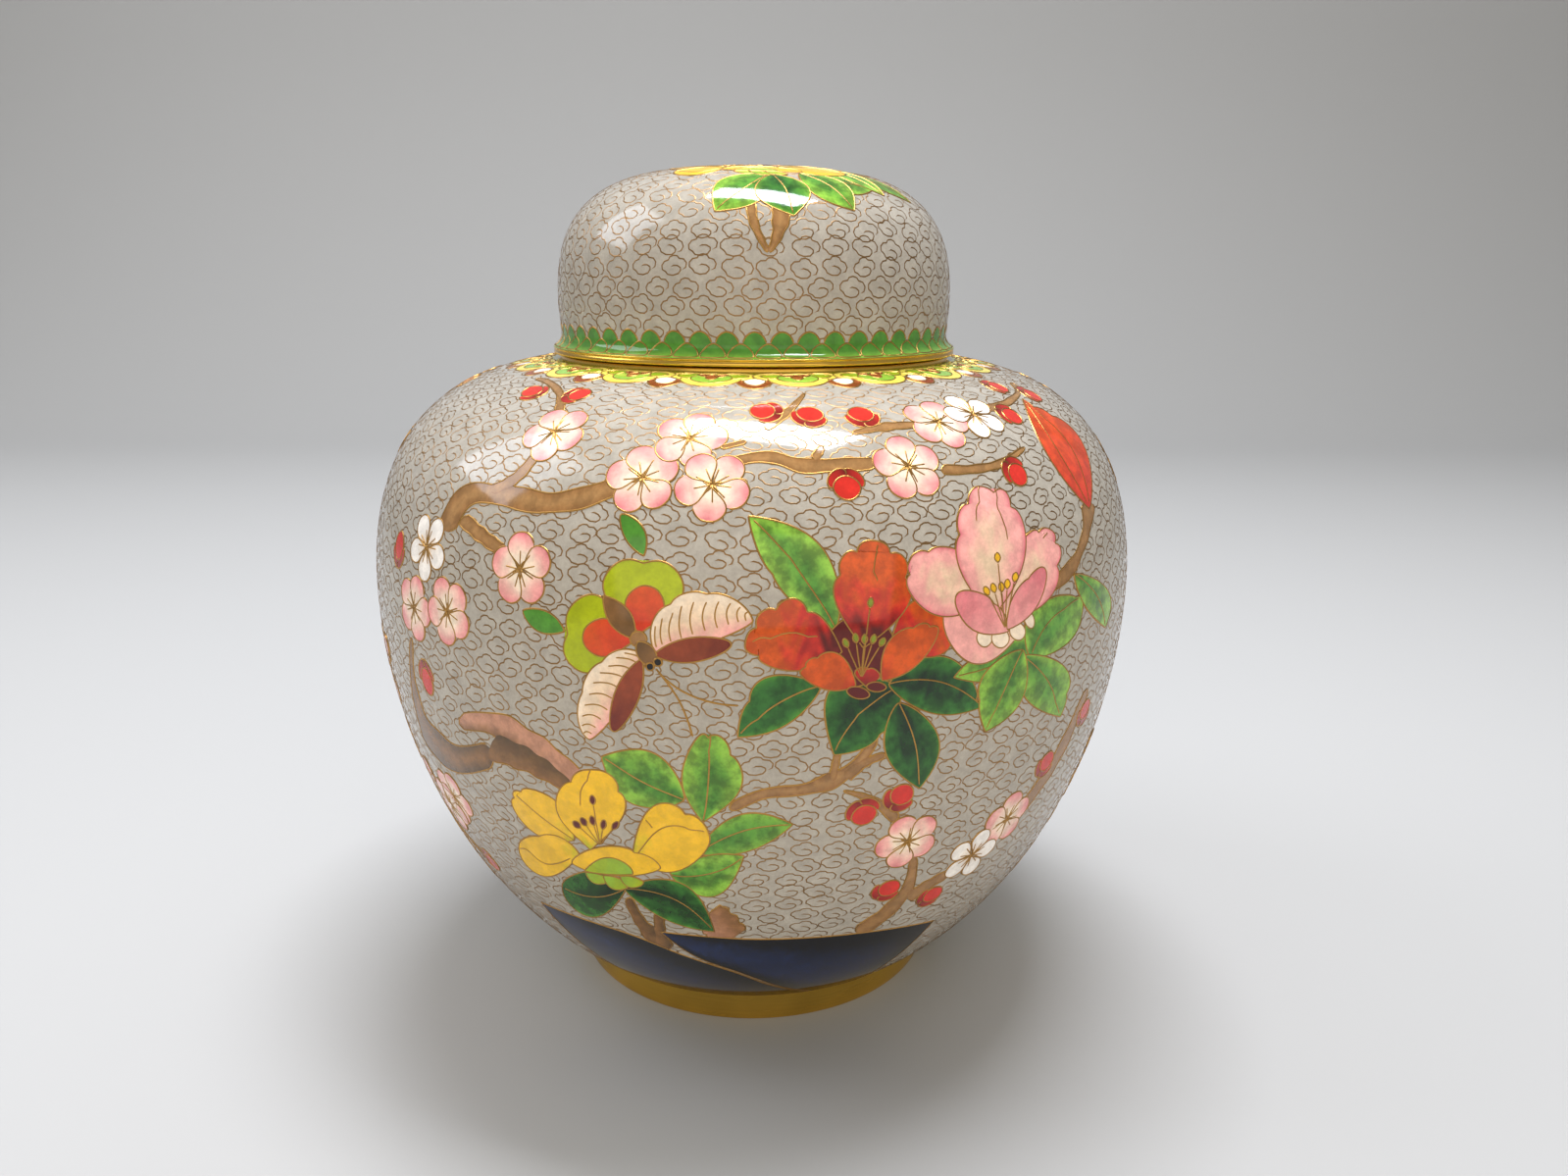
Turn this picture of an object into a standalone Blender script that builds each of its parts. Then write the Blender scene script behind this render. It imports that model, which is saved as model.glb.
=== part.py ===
"""Cloisonne ginger jar: a hollow enamelled copper jar on a gilded foot ring, with a lift-off domed lid.

Metres, +Z up. The jar's axis is Z, and the origin is the centre of the foot ring's underside.
Every piece is turned: an outline in (radius, height) carried round the axis by a Screw modifier.
"""

import bpy
import numpy as np

# Body
BELLY_RADIUS = 0.095
BELLY_HEIGHT = 0.106
SHOULDER_HEIGHT = 0.16
BASE_OVERHANG = 0.0055
BODY_WALL = 0.002
LOWER_SQUARENESS = (2.23, 1.88)
UPPER_SQUARENESS = (4.9, 2.17)

# Foot ring
FOOT_RADIUS = 0.0481
FOOT_HEIGHT = 0.0104
FOOT_FLARE = 0.0005
FOOT_WALL = 0.003

# Neck, which the lid slips over
NECK_RADIUS = 0.0456
NECK_WALL = 0.0015
NECK_HEIGHT = 0.012
SEAT_HEIGHT = 0.0008
SEAT_INSET = 0.0015

# Lid
LID_CLEARANCE = 0.0006
LID_WALL = 0.0016
LID_SWELL = 0.0006
LID_WIDEST = 0.0114
DOME_RISE = 0.0321
DOME_SQUARENESS = (3.4, 2.7)
LIP_REACH = 0.0021
LIP_HEIGHT = 0.0027
LIP_CURVE = 2.2
LIP_POINTS = 4
RIM_HEIGHT = 0.0017
RIM_LIP = 0.0007
RIM_GROOVE = 0.0004

# Shared by all pieces
JOINT_GAP = 0.0003
EASE = 0.0004
OUTSIDE_SPACING = 0.0085
INSIDE_SPACING = 0.014
DOME_SPACING = 0.006
CEILING_SPACING = 0.01
TURN_STEPS = 56
MERGE = 0.00001

# Worked out from the sizes above
BASE_HEIGHT = FOOT_HEIGHT + JOINT_GAP
BASE_RADIUS = FOOT_RADIUS + BASE_OVERHANG
FLOOR_HEIGHT = BASE_HEIGHT + BODY_WALL
LID_BORE = NECK_RADIUS + LID_CLEARANCE
LID_RADIUS = LID_BORE + LID_WALL
RIM_RADIUS = LID_RADIUS + LIP_REACH
SEAT_RADIUS = RIM_RADIUS - SEAT_INSET
SEAT_TOP = SHOULDER_HEIGHT + SEAT_HEIGHT
NECK_TOP = SHOULDER_HEIGHT + NECK_HEIGHT
RIM_BOTTOM = SEAT_TOP + JOINT_GAP
RIM_TOP = RIM_BOTTOM + RIM_HEIGHT
LID_BOTTOM = RIM_TOP + JOINT_GAP
LID_WIDEST_HEIGHT = RIM_BOTTOM + LID_WIDEST


def clear_scene():
    for obj in list(bpy.data.objects):
        bpy.data.objects.remove(obj, do_unlink=True)


def swept_quarter(widest, end, squareness, spacing):
    """Points from the widest point to the end point, about spacing apart along a superellipse quarter.

    (r / a)^p + (h / b)^q = 1, with a the widest radius, h the height from the widest point,
    (p, q) the squareness, and b set so that the curve passes through the end point.
    """
    a = widest[0]
    p, q = squareness
    share = end[0] / a
    drop = end[1] - widest[1]
    b = drop / (1.0 - share**p) ** (1.0 / q)
    angle = np.linspace(0.0, np.arccos(share ** (p / 2.0)), 2000)
    r = a * np.cos(angle) ** (2.0 / p)
    h = b * np.sin(angle) ** (2.0 / q)
    along = np.concatenate([[0.0], np.cumsum(np.hypot(np.diff(r), np.diff(h)))])
    at = np.linspace(0.0, along[-1], 1 + round(along[-1] / spacing))
    return np.column_stack([np.interp(at, along, r), widest[1] + np.interp(at, along, h)])


def set_in(outline, wall):
    """The outline moved by the wall's thickness to its inner side, which is right of its way down."""
    way = np.gradient(outline, axis=0)
    way /= np.linalg.norm(way, axis=1)[:, None]
    return outline + wall * np.column_stack([way[:, 1], -way[:, 0]])


def eased(corner, before, after):
    """The two points of an eased corner: EASE short of it and EASE past it."""
    corner, before, after = (np.array(point, float) for point in (corner, before, after))
    start = corner + EASE * (before - corner) / np.linalg.norm(before - corner)
    stop = corner + EASE * (after - corner) / np.linalg.norm(after - corner)
    return np.array([start, stop])


def ease_corners(points, closed):
    """An outline with its corners eased. An open one keeps its two end points."""
    last = len(points)
    corners = range(last) if closed else range(1, last - 1)
    pairs = [eased(points[i], points[i - 1], points[(i + 1) % last]) for i in corners]
    return np.vstack(pairs if closed else [points[:1], *pairs, points[-1:]])


def body_outline():
    """From the middle of the floor up the inside, over the neck and down the outside to the underside."""
    widest = (BELLY_RADIUS, BELLY_HEIGHT)
    upper = swept_quarter(widest, (SEAT_RADIUS, SHOULDER_HEIGHT), UPPER_SQUARENESS, OUTSIDE_SPACING)
    lower = swept_quarter(widest, (BASE_RADIUS, BASE_HEIGHT), LOWER_SQUARENESS, OUTSIDE_SPACING)
    outside = np.vstack([upper[::-1], lower[1:]])
    inside = set_in(outside, BODY_WALL)[::-2]
    neck_bore = NECK_RADIUS - NECK_WALL
    ceiling = SHOULDER_HEIGHT - BODY_WALL
    room = (inside[:, 1] > FLOOR_HEIGHT) & (inside[:, 0] > neck_bore + BODY_WALL)
    floor_edge = (BASE_RADIUS - BODY_WALL, FLOOR_HEIGHT)
    neck = [
        (neck_bore, ceiling),
        (neck_bore, NECK_TOP),
        (NECK_RADIUS, NECK_TOP),
        (NECK_RADIUS, SEAT_TOP),
        (SEAT_RADIUS, SEAT_TOP),
    ]
    up_inside = [[(0.0, FLOOR_HEIGHT), floor_edge], inside[room], ease_corners(neck, closed=False)]
    return np.vstack([*up_inside, outside, [(0.0, BASE_HEIGHT)]])


def foot_outline():
    """A plain ring, a little wider at its top, with eased edges."""
    top = FOOT_HEIGHT
    ring = [
        (FOOT_RADIUS + FOOT_FLARE, top),
        (FOOT_RADIUS, 0.0),
        (FOOT_RADIUS - FOOT_WALL, 0.0),
        (FOOT_RADIUS - FOOT_WALL, top),
    ]
    return ease_corners(ring, closed=True)


def lid_outline():
    """From the crown down the outside to the flared lip, and back up inside to the crown."""
    crown = (0.0, LID_WIDEST_HEIGHT + DOME_RISE)
    widest = (LID_RADIUS + LID_SWELL, LID_WIDEST_HEIGHT)
    dome = swept_quarter(widest, crown, DOME_SQUARENESS, DOME_SPACING)[::-1]
    lip_top = LID_BOTTOM + LIP_HEIGHT
    t = np.linspace(0.0, 1.0, LIP_POINTS)
    flare = np.column_stack([LID_RADIUS + LIP_REACH * t**LIP_CURVE, lip_top - LIP_HEIGHT * t])
    outside = np.vstack([dome, flare])
    inner_widest = (widest[0] - LID_WALL, LID_WIDEST_HEIGHT)
    inner_crown = (0.0, crown[1] - LID_WALL)
    ceiling = swept_quarter(inner_widest, inner_crown, DOME_SQUARENESS, CEILING_SPACING)
    return np.vstack([outside, [(LID_BORE, LID_BOTTOM), (LID_BORE, lip_top)], ceiling])


def rim_outline():
    """The lid's gilded edge: a flared upper lip, a fine groove and a band below it."""
    groove_height = RIM_TOP - RIM_LIP
    band_top = groove_height - RIM_GROOVE
    return np.array([
        (RIM_RADIUS - EASE, RIM_TOP),
        (RIM_RADIUS, RIM_TOP - EASE / 2),
        (RIM_RADIUS - RIM_GROOVE, groove_height),
        (RIM_RADIUS, band_top),
        (RIM_RADIUS, RIM_BOTTOM + EASE / 2),
        (RIM_RADIUS - EASE, RIM_BOTTOM),
        (LID_BORE, RIM_BOTTOM),
        (LID_BORE, RIM_TOP),
    ])


def principled(name, colour, roughness, metallic):
    material = bpy.data.materials.new(name)
    material.use_nodes = True
    shader = material.node_tree.nodes["Principled BSDF"]
    shader.inputs["Base Color"].default_value = (*colour, 1.0)
    shader.inputs["Roughness"].default_value = roughness
    shader.inputs["Metallic"].default_value = metallic
    return material


def turned(name, outline, material, collection, ring=False):
    """An object whose mesh is the outline, turned round Z by a Screw modifier."""
    count = len(outline)
    mesh = bpy.data.meshes.new(name)
    links = [(i, (i + 1) % count) for i in range(count if ring else count - 1)]
    mesh.from_pydata([(r, 0.0, z) for r, z in outline], links, [])
    mesh.materials.append(material)
    obj = bpy.data.objects.new(name, mesh)
    collection.objects.link(obj)
    screw = obj.modifiers.new("Turn", "SCREW")
    screw.axis = "Z"
    screw.steps = TURN_STEPS
    screw.render_steps = TURN_STEPS
    screw.use_merge_vertices = True
    screw.merge_threshold = MERGE
    screw.use_smooth_shade = True
    return obj


def build():
    clear_scene()
    jar = bpy.data.collections.new("ginger_jar")
    bpy.context.scene.collection.children.link(jar)
    enamel = principled("enamelled_copper", (0.47, 0.42, 0.46), 0.12, 0.0)
    gilt = principled("gilded_copper", (0.80, 0.55, 0.18), 0.28, 1.0)
    turned("jar_body", body_outline(), enamel, jar)
    turned("foot_ring", foot_outline(), gilt, jar, ring=True)
    turned("lid", lid_outline(), enamel, jar)
    turned("lid_rim", rim_outline(), gilt, jar, ring=True)


build()
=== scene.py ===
"""Dresses the cloisonne ginger jar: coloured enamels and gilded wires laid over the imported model.

Everything is in metres. The jar's axis is Z. Its picture side faces -Y, towards the camera.
"""

import logging
from collections.abc import Sequence
from dataclasses import dataclass, field
from enum import Enum

import bpy
import numpy as np
from mathutils import Matrix


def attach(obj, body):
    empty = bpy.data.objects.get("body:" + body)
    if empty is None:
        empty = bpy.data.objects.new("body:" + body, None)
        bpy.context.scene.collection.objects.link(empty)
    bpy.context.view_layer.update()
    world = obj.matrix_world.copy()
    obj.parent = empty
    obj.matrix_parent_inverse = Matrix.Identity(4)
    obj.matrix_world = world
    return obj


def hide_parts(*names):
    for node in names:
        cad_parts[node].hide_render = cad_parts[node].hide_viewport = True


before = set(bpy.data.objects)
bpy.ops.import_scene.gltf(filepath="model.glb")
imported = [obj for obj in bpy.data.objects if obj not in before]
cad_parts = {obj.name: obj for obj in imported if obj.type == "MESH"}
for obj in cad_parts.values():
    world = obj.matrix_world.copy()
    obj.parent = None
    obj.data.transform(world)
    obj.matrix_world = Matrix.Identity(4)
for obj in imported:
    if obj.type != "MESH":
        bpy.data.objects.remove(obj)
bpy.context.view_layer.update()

Array = np.ndarray
Point = tuple[float, float]
Material = bpy.types.Material

log = logging.getLogger("ginger_jar")
MM = 0.001
ROOT = "root"
RAY_STEPS = 260
RAY_HALVINGS = 22
RAIL_POINTS = (7, 70)
CELL_COLUMNS = (3, 14)
JAR_COLUMNS = 224
LID_COLUMNS = 192
INSIDE_COLUMNS = 128


# Colour and materials


def linear(hex_colour: str) -> Array:
    """Turn an sRGB hex colour such as #8A6238 into linear light.

    Args:
        hex_colour: Six hex digits after a hash.

    Returns:
        Three linear values from 0 to 1.
    """
    srgb = np.array([int(hex_colour[i:i + 2], 16) for i in (1, 3, 5)]) / 255.0
    return np.where(srgb <= 0.04045, srgb / 12.92, ((srgb + 0.055) / 1.055) ** 2.4)


def add_node(tree: bpy.types.NodeTree, kind: str, inputs: dict | None = None, **settings) -> bpy.types.Node:
    """Add one node, with its settings, its values and its links.

    Args:
        tree: The node tree that it goes into.
        kind: Blender's name for the kind of node.
        inputs: Socket name or index to a value, or to the output socket that feeds it.
        settings: The node's own properties.

    Returns:
        The new node.
    """
    node = tree.nodes.new(kind)
    for name, value in settings.items():
        setattr(node, name, value)
    for name, value in (inputs or {}).items():
        if isinstance(value, bpy.types.NodeSocket):
            tree.links.new(value, node.inputs[name])
        else:
            node.inputs[name].default_value = value
    return node


def new_material(name: str) -> tuple[Material, bpy.types.NodeTree, bpy.types.Node]:
    """Start a material with one Principled shader.

    Args:
        name: The real material and finish.

    Returns:
        The material, its node tree and its shader.
    """
    material = bpy.data.materials.new(name)
    material.use_nodes = True
    tree = material.node_tree
    return material, tree, tree.nodes["Principled BSDF"]


@dataclass(frozen=True)
class FusedEnamel:
    """Vitreous enamel, packed wet into its cells, fired and stoned flush: a gloss glass full of fine grain.

    The glaze attribute holds each cell's colour and, in its alpha, how far the glass has pooled into dark
    and light patches. Two sizes of grain break it up, as the ground frit does, and shallow waves left by
    the stoning make the gloss uneven.
    """

    name: str
    grain_mm: float = 0.55
    cloud_mm: float = 4.0
    pool_mm: float = 3.2
    pool_depth: float = 0.5
    grain: float = 0.10
    roughness: float = 0.08
    ior: float = 1.5
    wave_mm: float = 1.6
    wave_depth_mm: float = 0.004

    def build(self) -> Material:
        """Make the material."""
        material, tree, shader = new_material(self.name)
        place = add_node(tree, "ShaderNodeTexCoord").outputs["Object"]
        glaze = add_node(tree, "ShaderNodeAttribute", attribute_name="glaze")
        fine = add_node(tree, "ShaderNodeTexNoise", {"Vector": place, "Scale": 1 / (self.grain_mm * MM),
                                                     "Detail": 3.0, "Roughness": 0.7})
        broad = add_node(tree, "ShaderNodeTexNoise", {"Vector": place, "Scale": 1 / (self.cloud_mm * MM),
                                                      "Detail": 2.0})
        both = add_node(tree, "ShaderNodeMath", {0: fine.outputs["Fac"], 1: broad.outputs["Fac"]},
                        operation="ADD")
        shade = add_node(tree, "ShaderNodeMapRange", {"Value": both.outputs[0], "From Min": 0.7,
                                                      "From Max": 1.3, "To Min": 1 - self.grain,
                                                      "To Max": 1 + self.grain})
        pools = add_node(tree, "ShaderNodeTexNoise", {"Vector": place, "Scale": 1 / (self.pool_mm * MM),
                                                      "Detail": 3.0, "Roughness": 0.65})
        deep = add_node(tree, "ShaderNodeMapRange", {"Value": pools.outputs["Fac"], "From Min": 0.4,
                                                     "From Max": 0.62, "To Min": -self.pool_depth,
                                                     "To Max": 0.1})
        pooled = add_node(tree, "ShaderNodeMath", {0: deep.outputs[0], 1: glaze.outputs["Alpha"], 2: 1.0},
                          operation="MULTIPLY_ADD")
        toned = add_node(tree, "ShaderNodeMath", {0: shade.outputs[0], 1: pooled.outputs[0]},
                         operation="MULTIPLY")
        colour = add_node(tree, "ShaderNodeVectorMath", {0: glaze.outputs["Color"], 1: toned.outputs[0]},
                          operation="MULTIPLY")
        gloss = add_node(tree, "ShaderNodeMapRange", {"Value": fine.outputs["Fac"], "From Min": 0.3,
                                                      "From Max": 0.7, "To Min": self.roughness * 0.8,
                                                      "To Max": self.roughness * 1.3})
        waves = add_node(tree, "ShaderNodeTexNoise", {"Vector": place, "Scale": 1 / (self.wave_mm * MM),
                                                      "Detail": 1.0})
        bump = add_node(tree, "ShaderNodeBump", {"Height": waves.outputs["Fac"], "Strength": 1.0,
                                                 "Distance": self.wave_depth_mm * MM})
        tree.links.new(colour.outputs[0], shader.inputs["Base Color"])
        tree.links.new(gloss.outputs[0], shader.inputs["Roughness"])
        tree.links.new(bump.outputs[0], shader.inputs["Normal"])
        shader.inputs["IOR"].default_value = self.ior
        return material


@dataclass(frozen=True)
class GildedCopper:
    """Copper with a thin fire gilding: warm gold, brushed round by the mop, with broad darker patches that
    are a painted sheen.
    """

    name: str
    colour: str
    roughness: float
    brush_mm: float = 0.35
    tarnish: float = 0.12
    sheen_patch_mm: float = 14.0
    painted_sheen: float = 0.16

    def build(self) -> Material:
        """Make the material."""
        material, tree, shader = new_material(self.name)
        place = add_node(tree, "ShaderNodeTexCoord").outputs["Object"]
        squeeze = add_node(tree, "ShaderNodeMapping", {"Vector": place, "Scale": (1.0, 1.0, 40.0)})
        lines = add_node(tree, "ShaderNodeTexNoise", {"Vector": squeeze.outputs[0],
                                                      "Scale": 0.02 / (self.brush_mm * MM), "Detail": 3.0})
        tone = add_node(tree, "ShaderNodeMapRange", {"Value": lines.outputs["Fac"], "From Min": 0.3,
                                                     "From Max": 0.7, "To Min": 1 - self.tarnish,
                                                     "To Max": 1.0})
        # Broad patches of darker gold: a painted sheen that stands for the gilding's uneven reflections.
        broad = add_node(tree, "ShaderNodeTexNoise", {"Vector": place, "Scale": 1 / (self.sheen_patch_mm * MM),
                                                      "Detail": 1.0})
        painted_sheen_tone = add_node(tree, "ShaderNodeMapRange", {"Value": broad.outputs["Fac"], "From Min": 0.35,
                                                     "From Max": 0.65, "To Min": 1 - self.painted_sheen,
                                                     "To Max": 1.0})
        both = add_node(tree, "ShaderNodeMath", {0: tone.outputs[0], 1: painted_sheen_tone.outputs[0]},
                        operation="MULTIPLY")
        base = add_node(tree, "ShaderNodeVectorMath", {0: tuple(linear(self.colour)), 1: both.outputs[0]},
                        operation="MULTIPLY")
        gloss = add_node(tree, "ShaderNodeMapRange", {"Value": lines.outputs["Fac"], "From Min": 0.3,
                                                      "From Max": 0.7, "To Min": self.roughness * 1.25,
                                                      "To Max": self.roughness * 0.8})
        tree.links.new(base.outputs[0], shader.inputs["Base Color"])
        tree.links.new(gloss.outputs[0], shader.inputs["Roughness"])
        shader.inputs["Metallic"].default_value = 1.0
        return material


# Surfaces


def swept_quarter(widest: Point, end: Point, squareness: Point, count: int) -> Array:
    """Work out a superellipse quarter from its widest point to its end point.

    (r / a)^p + (h / b)^q = 1, with a the widest radius, h the height from the widest point and b set
    so that the curve passes through the end point. The points are evenly spaced along it.

    Args:
        widest: Radius and height of the widest point.
        end: Radius and height of the end point.
        squareness: The exponents p and q.
        count: How many points.

    Returns:
        Radii and heights, one row for each point.
    """
    p, q = squareness
    share = end[0] / widest[0]
    b = (end[1] - widest[1]) / (1.0 - share**p) ** (1.0 / q)
    angle = np.linspace(0.0, np.arccos(share ** (p / 2.0)), 4000)
    r = widest[0] * np.cos(angle) ** (2.0 / p)
    h = b * np.sin(angle) ** (2.0 / q)
    along = np.concatenate([[0.0], np.cumsum(np.hypot(np.diff(r), np.diff(h)))])
    at = np.linspace(0.0, along[-1], count)
    return np.column_stack([np.interp(at, along, r), widest[1] + np.interp(at, along, h)])


def unit(vectors: Array) -> Array:
    """Scale each vector to length one."""
    return vectors / np.maximum(np.linalg.norm(vectors, axis=-1, keepdims=True), 1e-12)


@dataclass
class TurnedSkin:
    """The outside of a turned piece, measured by azimuth round the axis and by arc length down its outline.

    Azimuth 0 faces -Y and grows towards +X. A spot is a pair (azimuth, arc length).
    """

    outline: Array
    arc: Array = field(init=False)
    normal: Array = field(init=False)

    def __post_init__(self) -> None:
        """Measure the arc length and the outward normal at each point of the outline."""
        steps = np.diff(self.outline, axis=0)
        self.arc = np.concatenate([[0.0], np.cumsum(np.hypot(*steps.T))])
        way = unit(np.gradient(self.outline, axis=0))
        self.normal = np.column_stack([-way[:, 1], way[:, 0]])

    def radius(self, arc: Array) -> Array:
        """The radius at an arc length."""
        return np.interp(arc, self.arc, self.outline[:, 0])

    def height(self, arc: Array) -> Array:
        """The height at an arc length."""
        return np.interp(arc, self.arc, self.outline[:, 1])

    def flat(self, spots: Array) -> Array:
        """Spread spots on a plane, one to one: each goes out by the first radius plus its arc length."""
        out = self.outline[0, 0] + spots[..., 1]
        return np.stack([out * np.sin(spots[..., 0]), out * np.cos(spots[..., 0])], -1)

    def place(self, spots: Array, lift: float | Array = 0.0) -> tuple[Array, Array]:
        """Put spots on the surface.

        Args:
            spots: Pairs of azimuth and arc length, in any shape.
            lift: How far out along the normal each point stands.

        Returns:
            The points and the unit normals, with the same leading shape.
        """
        azimuth, arc = spots[..., 0], spots[..., 1]
        across = np.interp(arc, self.arc, self.normal[:, 0])
        upward = np.interp(arc, self.arc, self.normal[:, 1])
        sine, cosine = np.sin(azimuth), np.cos(azimuth)
        normals = unit(np.stack([across * sine, -across * cosine, upward], -1))
        r = self.radius(arc)
        points = np.stack([r * sine, -r * cosine, self.height(arc)], -1)
        return points + np.asarray(lift)[..., None] * normals, normals

    def gap(self, points: Array) -> Array:
        """How far outside the surface each point is, measured level; the outline falls all the way."""
        wall = np.interp(points[..., 2], self.outline[::-1, 1], self.outline[::-1, 0], left=0.0, right=0.0)
        return np.hypot(points[..., 0], points[..., 1]) - wall

    def spots_under(self, start: Array, way: Array, near: float, far: float) -> Array:
        """Find where rays first meet the surface, by even steps and then by halving.

        A ray that misses gives the spot nearest to it, on the outline as seen.

        Args:
            start: The rays' common start.
            way: Their unit directions, one row each.
            near: Distance at which the search starts.
            far: Distance at which it ends.

        Returns:
            Pairs of azimuth and arc length.
        """
        reach = np.linspace(near, far, RAY_STEPS)
        gaps = self.gap(start + reach[:, None, None] * way)
        inside = gaps <= 0
        hit = inside.any(axis=0)
        first = np.where(hit, inside.argmax(axis=0), gaps.argmin(axis=0))
        high = reach[first]
        low = np.where(hit, reach[np.maximum(first - 1, 0)], high)
        for _ in range(RAY_HALVINGS):
            middle = (low + high) / 2
            within = self.gap(start + middle[:, None] * way) <= 0
            high, low = np.where(within, middle, high), np.where(within, low, middle)
        points = start + high[:, None] * way
        arc = np.interp(points[:, 2], self.outline[::-1, 1], self.arc[::-1])
        return np.column_stack([np.arctan2(points[:, 0], -points[:, 1]), arc])


@dataclass(frozen=True)
class Sizes:
    """The jar's own sizes, as its solids are turned."""

    belly_radius: float = 0.095
    belly_height: float = 0.106
    lower_squareness: Point = (2.23, 1.88)
    upper_squareness: Point = (4.9, 2.17)
    shoulder: Point = (0.0484, 0.16)
    base: Point = (0.0536, 0.0107)
    wall: float = 0.002
    neck_radius: float = 0.0456
    neck_bore: float = 0.0441
    neck_top: float = 0.172
    seat_top: float = 0.1608
    foot_radius: float = 0.0481
    foot_flare: float = 0.0005
    foot_wall: float = 0.003
    lid_radius: float = 0.0478
    lid_swell: float = 0.0006
    lid_bore: float = 0.0462
    lid_wall: float = 0.0016
    lid_widest: float = 0.1725
    lid_crown: float = 0.2046
    lid_squareness: Point = (3.4, 2.7)
    lip_radius: float = 0.0499
    lip_height: float = 0.0027
    lip_curve: float = 2.2
    rim_bottom: float = 0.1611
    rim_top: float = 0.1628

    def body_outline(self) -> Array:
        """The enamelled outside of the jar, from the seat down to the foot."""
        widest = (self.belly_radius, self.belly_height)
        upper = swept_quarter(widest, self.shoulder, self.upper_squareness, 64)
        lower = swept_quarter(widest, self.base, self.lower_squareness, 64)
        return np.vstack([upper[::-1], lower[1:]])

    def lid_outline(self) -> Array:
        """The enamelled outside of the lid, from the crown down to the gilded rim."""
        widest = (self.lid_radius + self.lid_swell, self.lid_widest)
        dome = swept_quarter(widest, (0.0, self.lid_crown), self.lid_squareness, 70)[::-1]
        lip_top = self.rim_top + self.lip_height
        wall = np.column_stack([np.linspace(widest[0], self.lid_radius, 8)[1:],
                                np.linspace(widest[1], lip_top, 8)[1:]])
        t = np.linspace(0.0, 1.0, 9)[1:]
        flare = np.column_stack([self.lid_radius + (self.lip_radius - self.lid_radius) * t**self.lip_curve,
                                 lip_top - self.lip_height * t])
        return np.vstack([dome, wall, flare])


# The camera


@dataclass(frozen=True)
class PhotoView:
    """The photograph's own view of the jar, found from its silhouette and the ellipses of its rims."""

    width_px: int = 1599
    height_px: int = 1199
    focal_px: float = 1200.0
    distance: float = 0.3038
    height: float = 0.1823
    down: float = np.radians(15.37)
    turn: float = np.radians(1.48)
    roll: float = np.radians(0.384)
    sensor_mm: float = 36.0

    @property
    def eye(self) -> Array:
        """Where the camera stands."""
        return np.array([0.0, -self.distance, self.height])

    def axes(self) -> Array:
        """The camera's right, up and forward directions, one row each."""
        level = np.array([np.sin(self.turn), np.cos(self.turn), 0.0])
        forward = np.cos(self.down) * level + np.array([0.0, 0.0, -np.sin(self.down)])
        right = np.array([np.cos(self.turn), -np.sin(self.turn), 0.0])
        up = np.cross(right, forward)
        c, s = np.cos(self.roll), np.sin(self.roll)
        return np.array([c * right + s * up, c * up - s * right, forward])

    def ways(self, pixels: Array) -> Array:
        """The unit direction through each pixel of the photograph's frame."""
        middle = np.array([self.width_px, self.height_px]) / 2 - 0.5
        across, down = (np.asarray(pixels, float).reshape(-1, 2) - middle).T / self.focal_px
        right, up, forward = self.axes()
        return unit(across[:, None] * right - down[:, None] * up + forward)

    def spots(self, skin: TurnedSkin, pixels: Array) -> Array:
        """The spots of a skin that show at some pixels, in the pixels' own shape."""
        pixels = np.asarray(pixels, float)
        found = skin.spots_under(self.eye, self.ways(pixels), 0.12, 0.42)
        return found.reshape(pixels.shape)

    def add_camera(self) -> None:
        """Create the camera and make it the scene's own."""
        data = bpy.data.cameras.new("photo_view")
        data.sensor_fit = "HORIZONTAL"
        data.sensor_width = self.sensor_mm
        data.lens = self.sensor_mm * self.focal_px / self.width_px
        data.clip_start = 0.01
        camera = bpy.data.objects.new("photo_view", data)
        bpy.context.scene.collection.objects.link(camera)
        right, up, forward = self.axes()
        pose = Matrix(np.column_stack([right, up, -forward, self.eye]).tolist()).to_4x4()
        camera.matrix_world = pose
        bpy.context.scene.camera = camera


# Meshes


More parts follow.
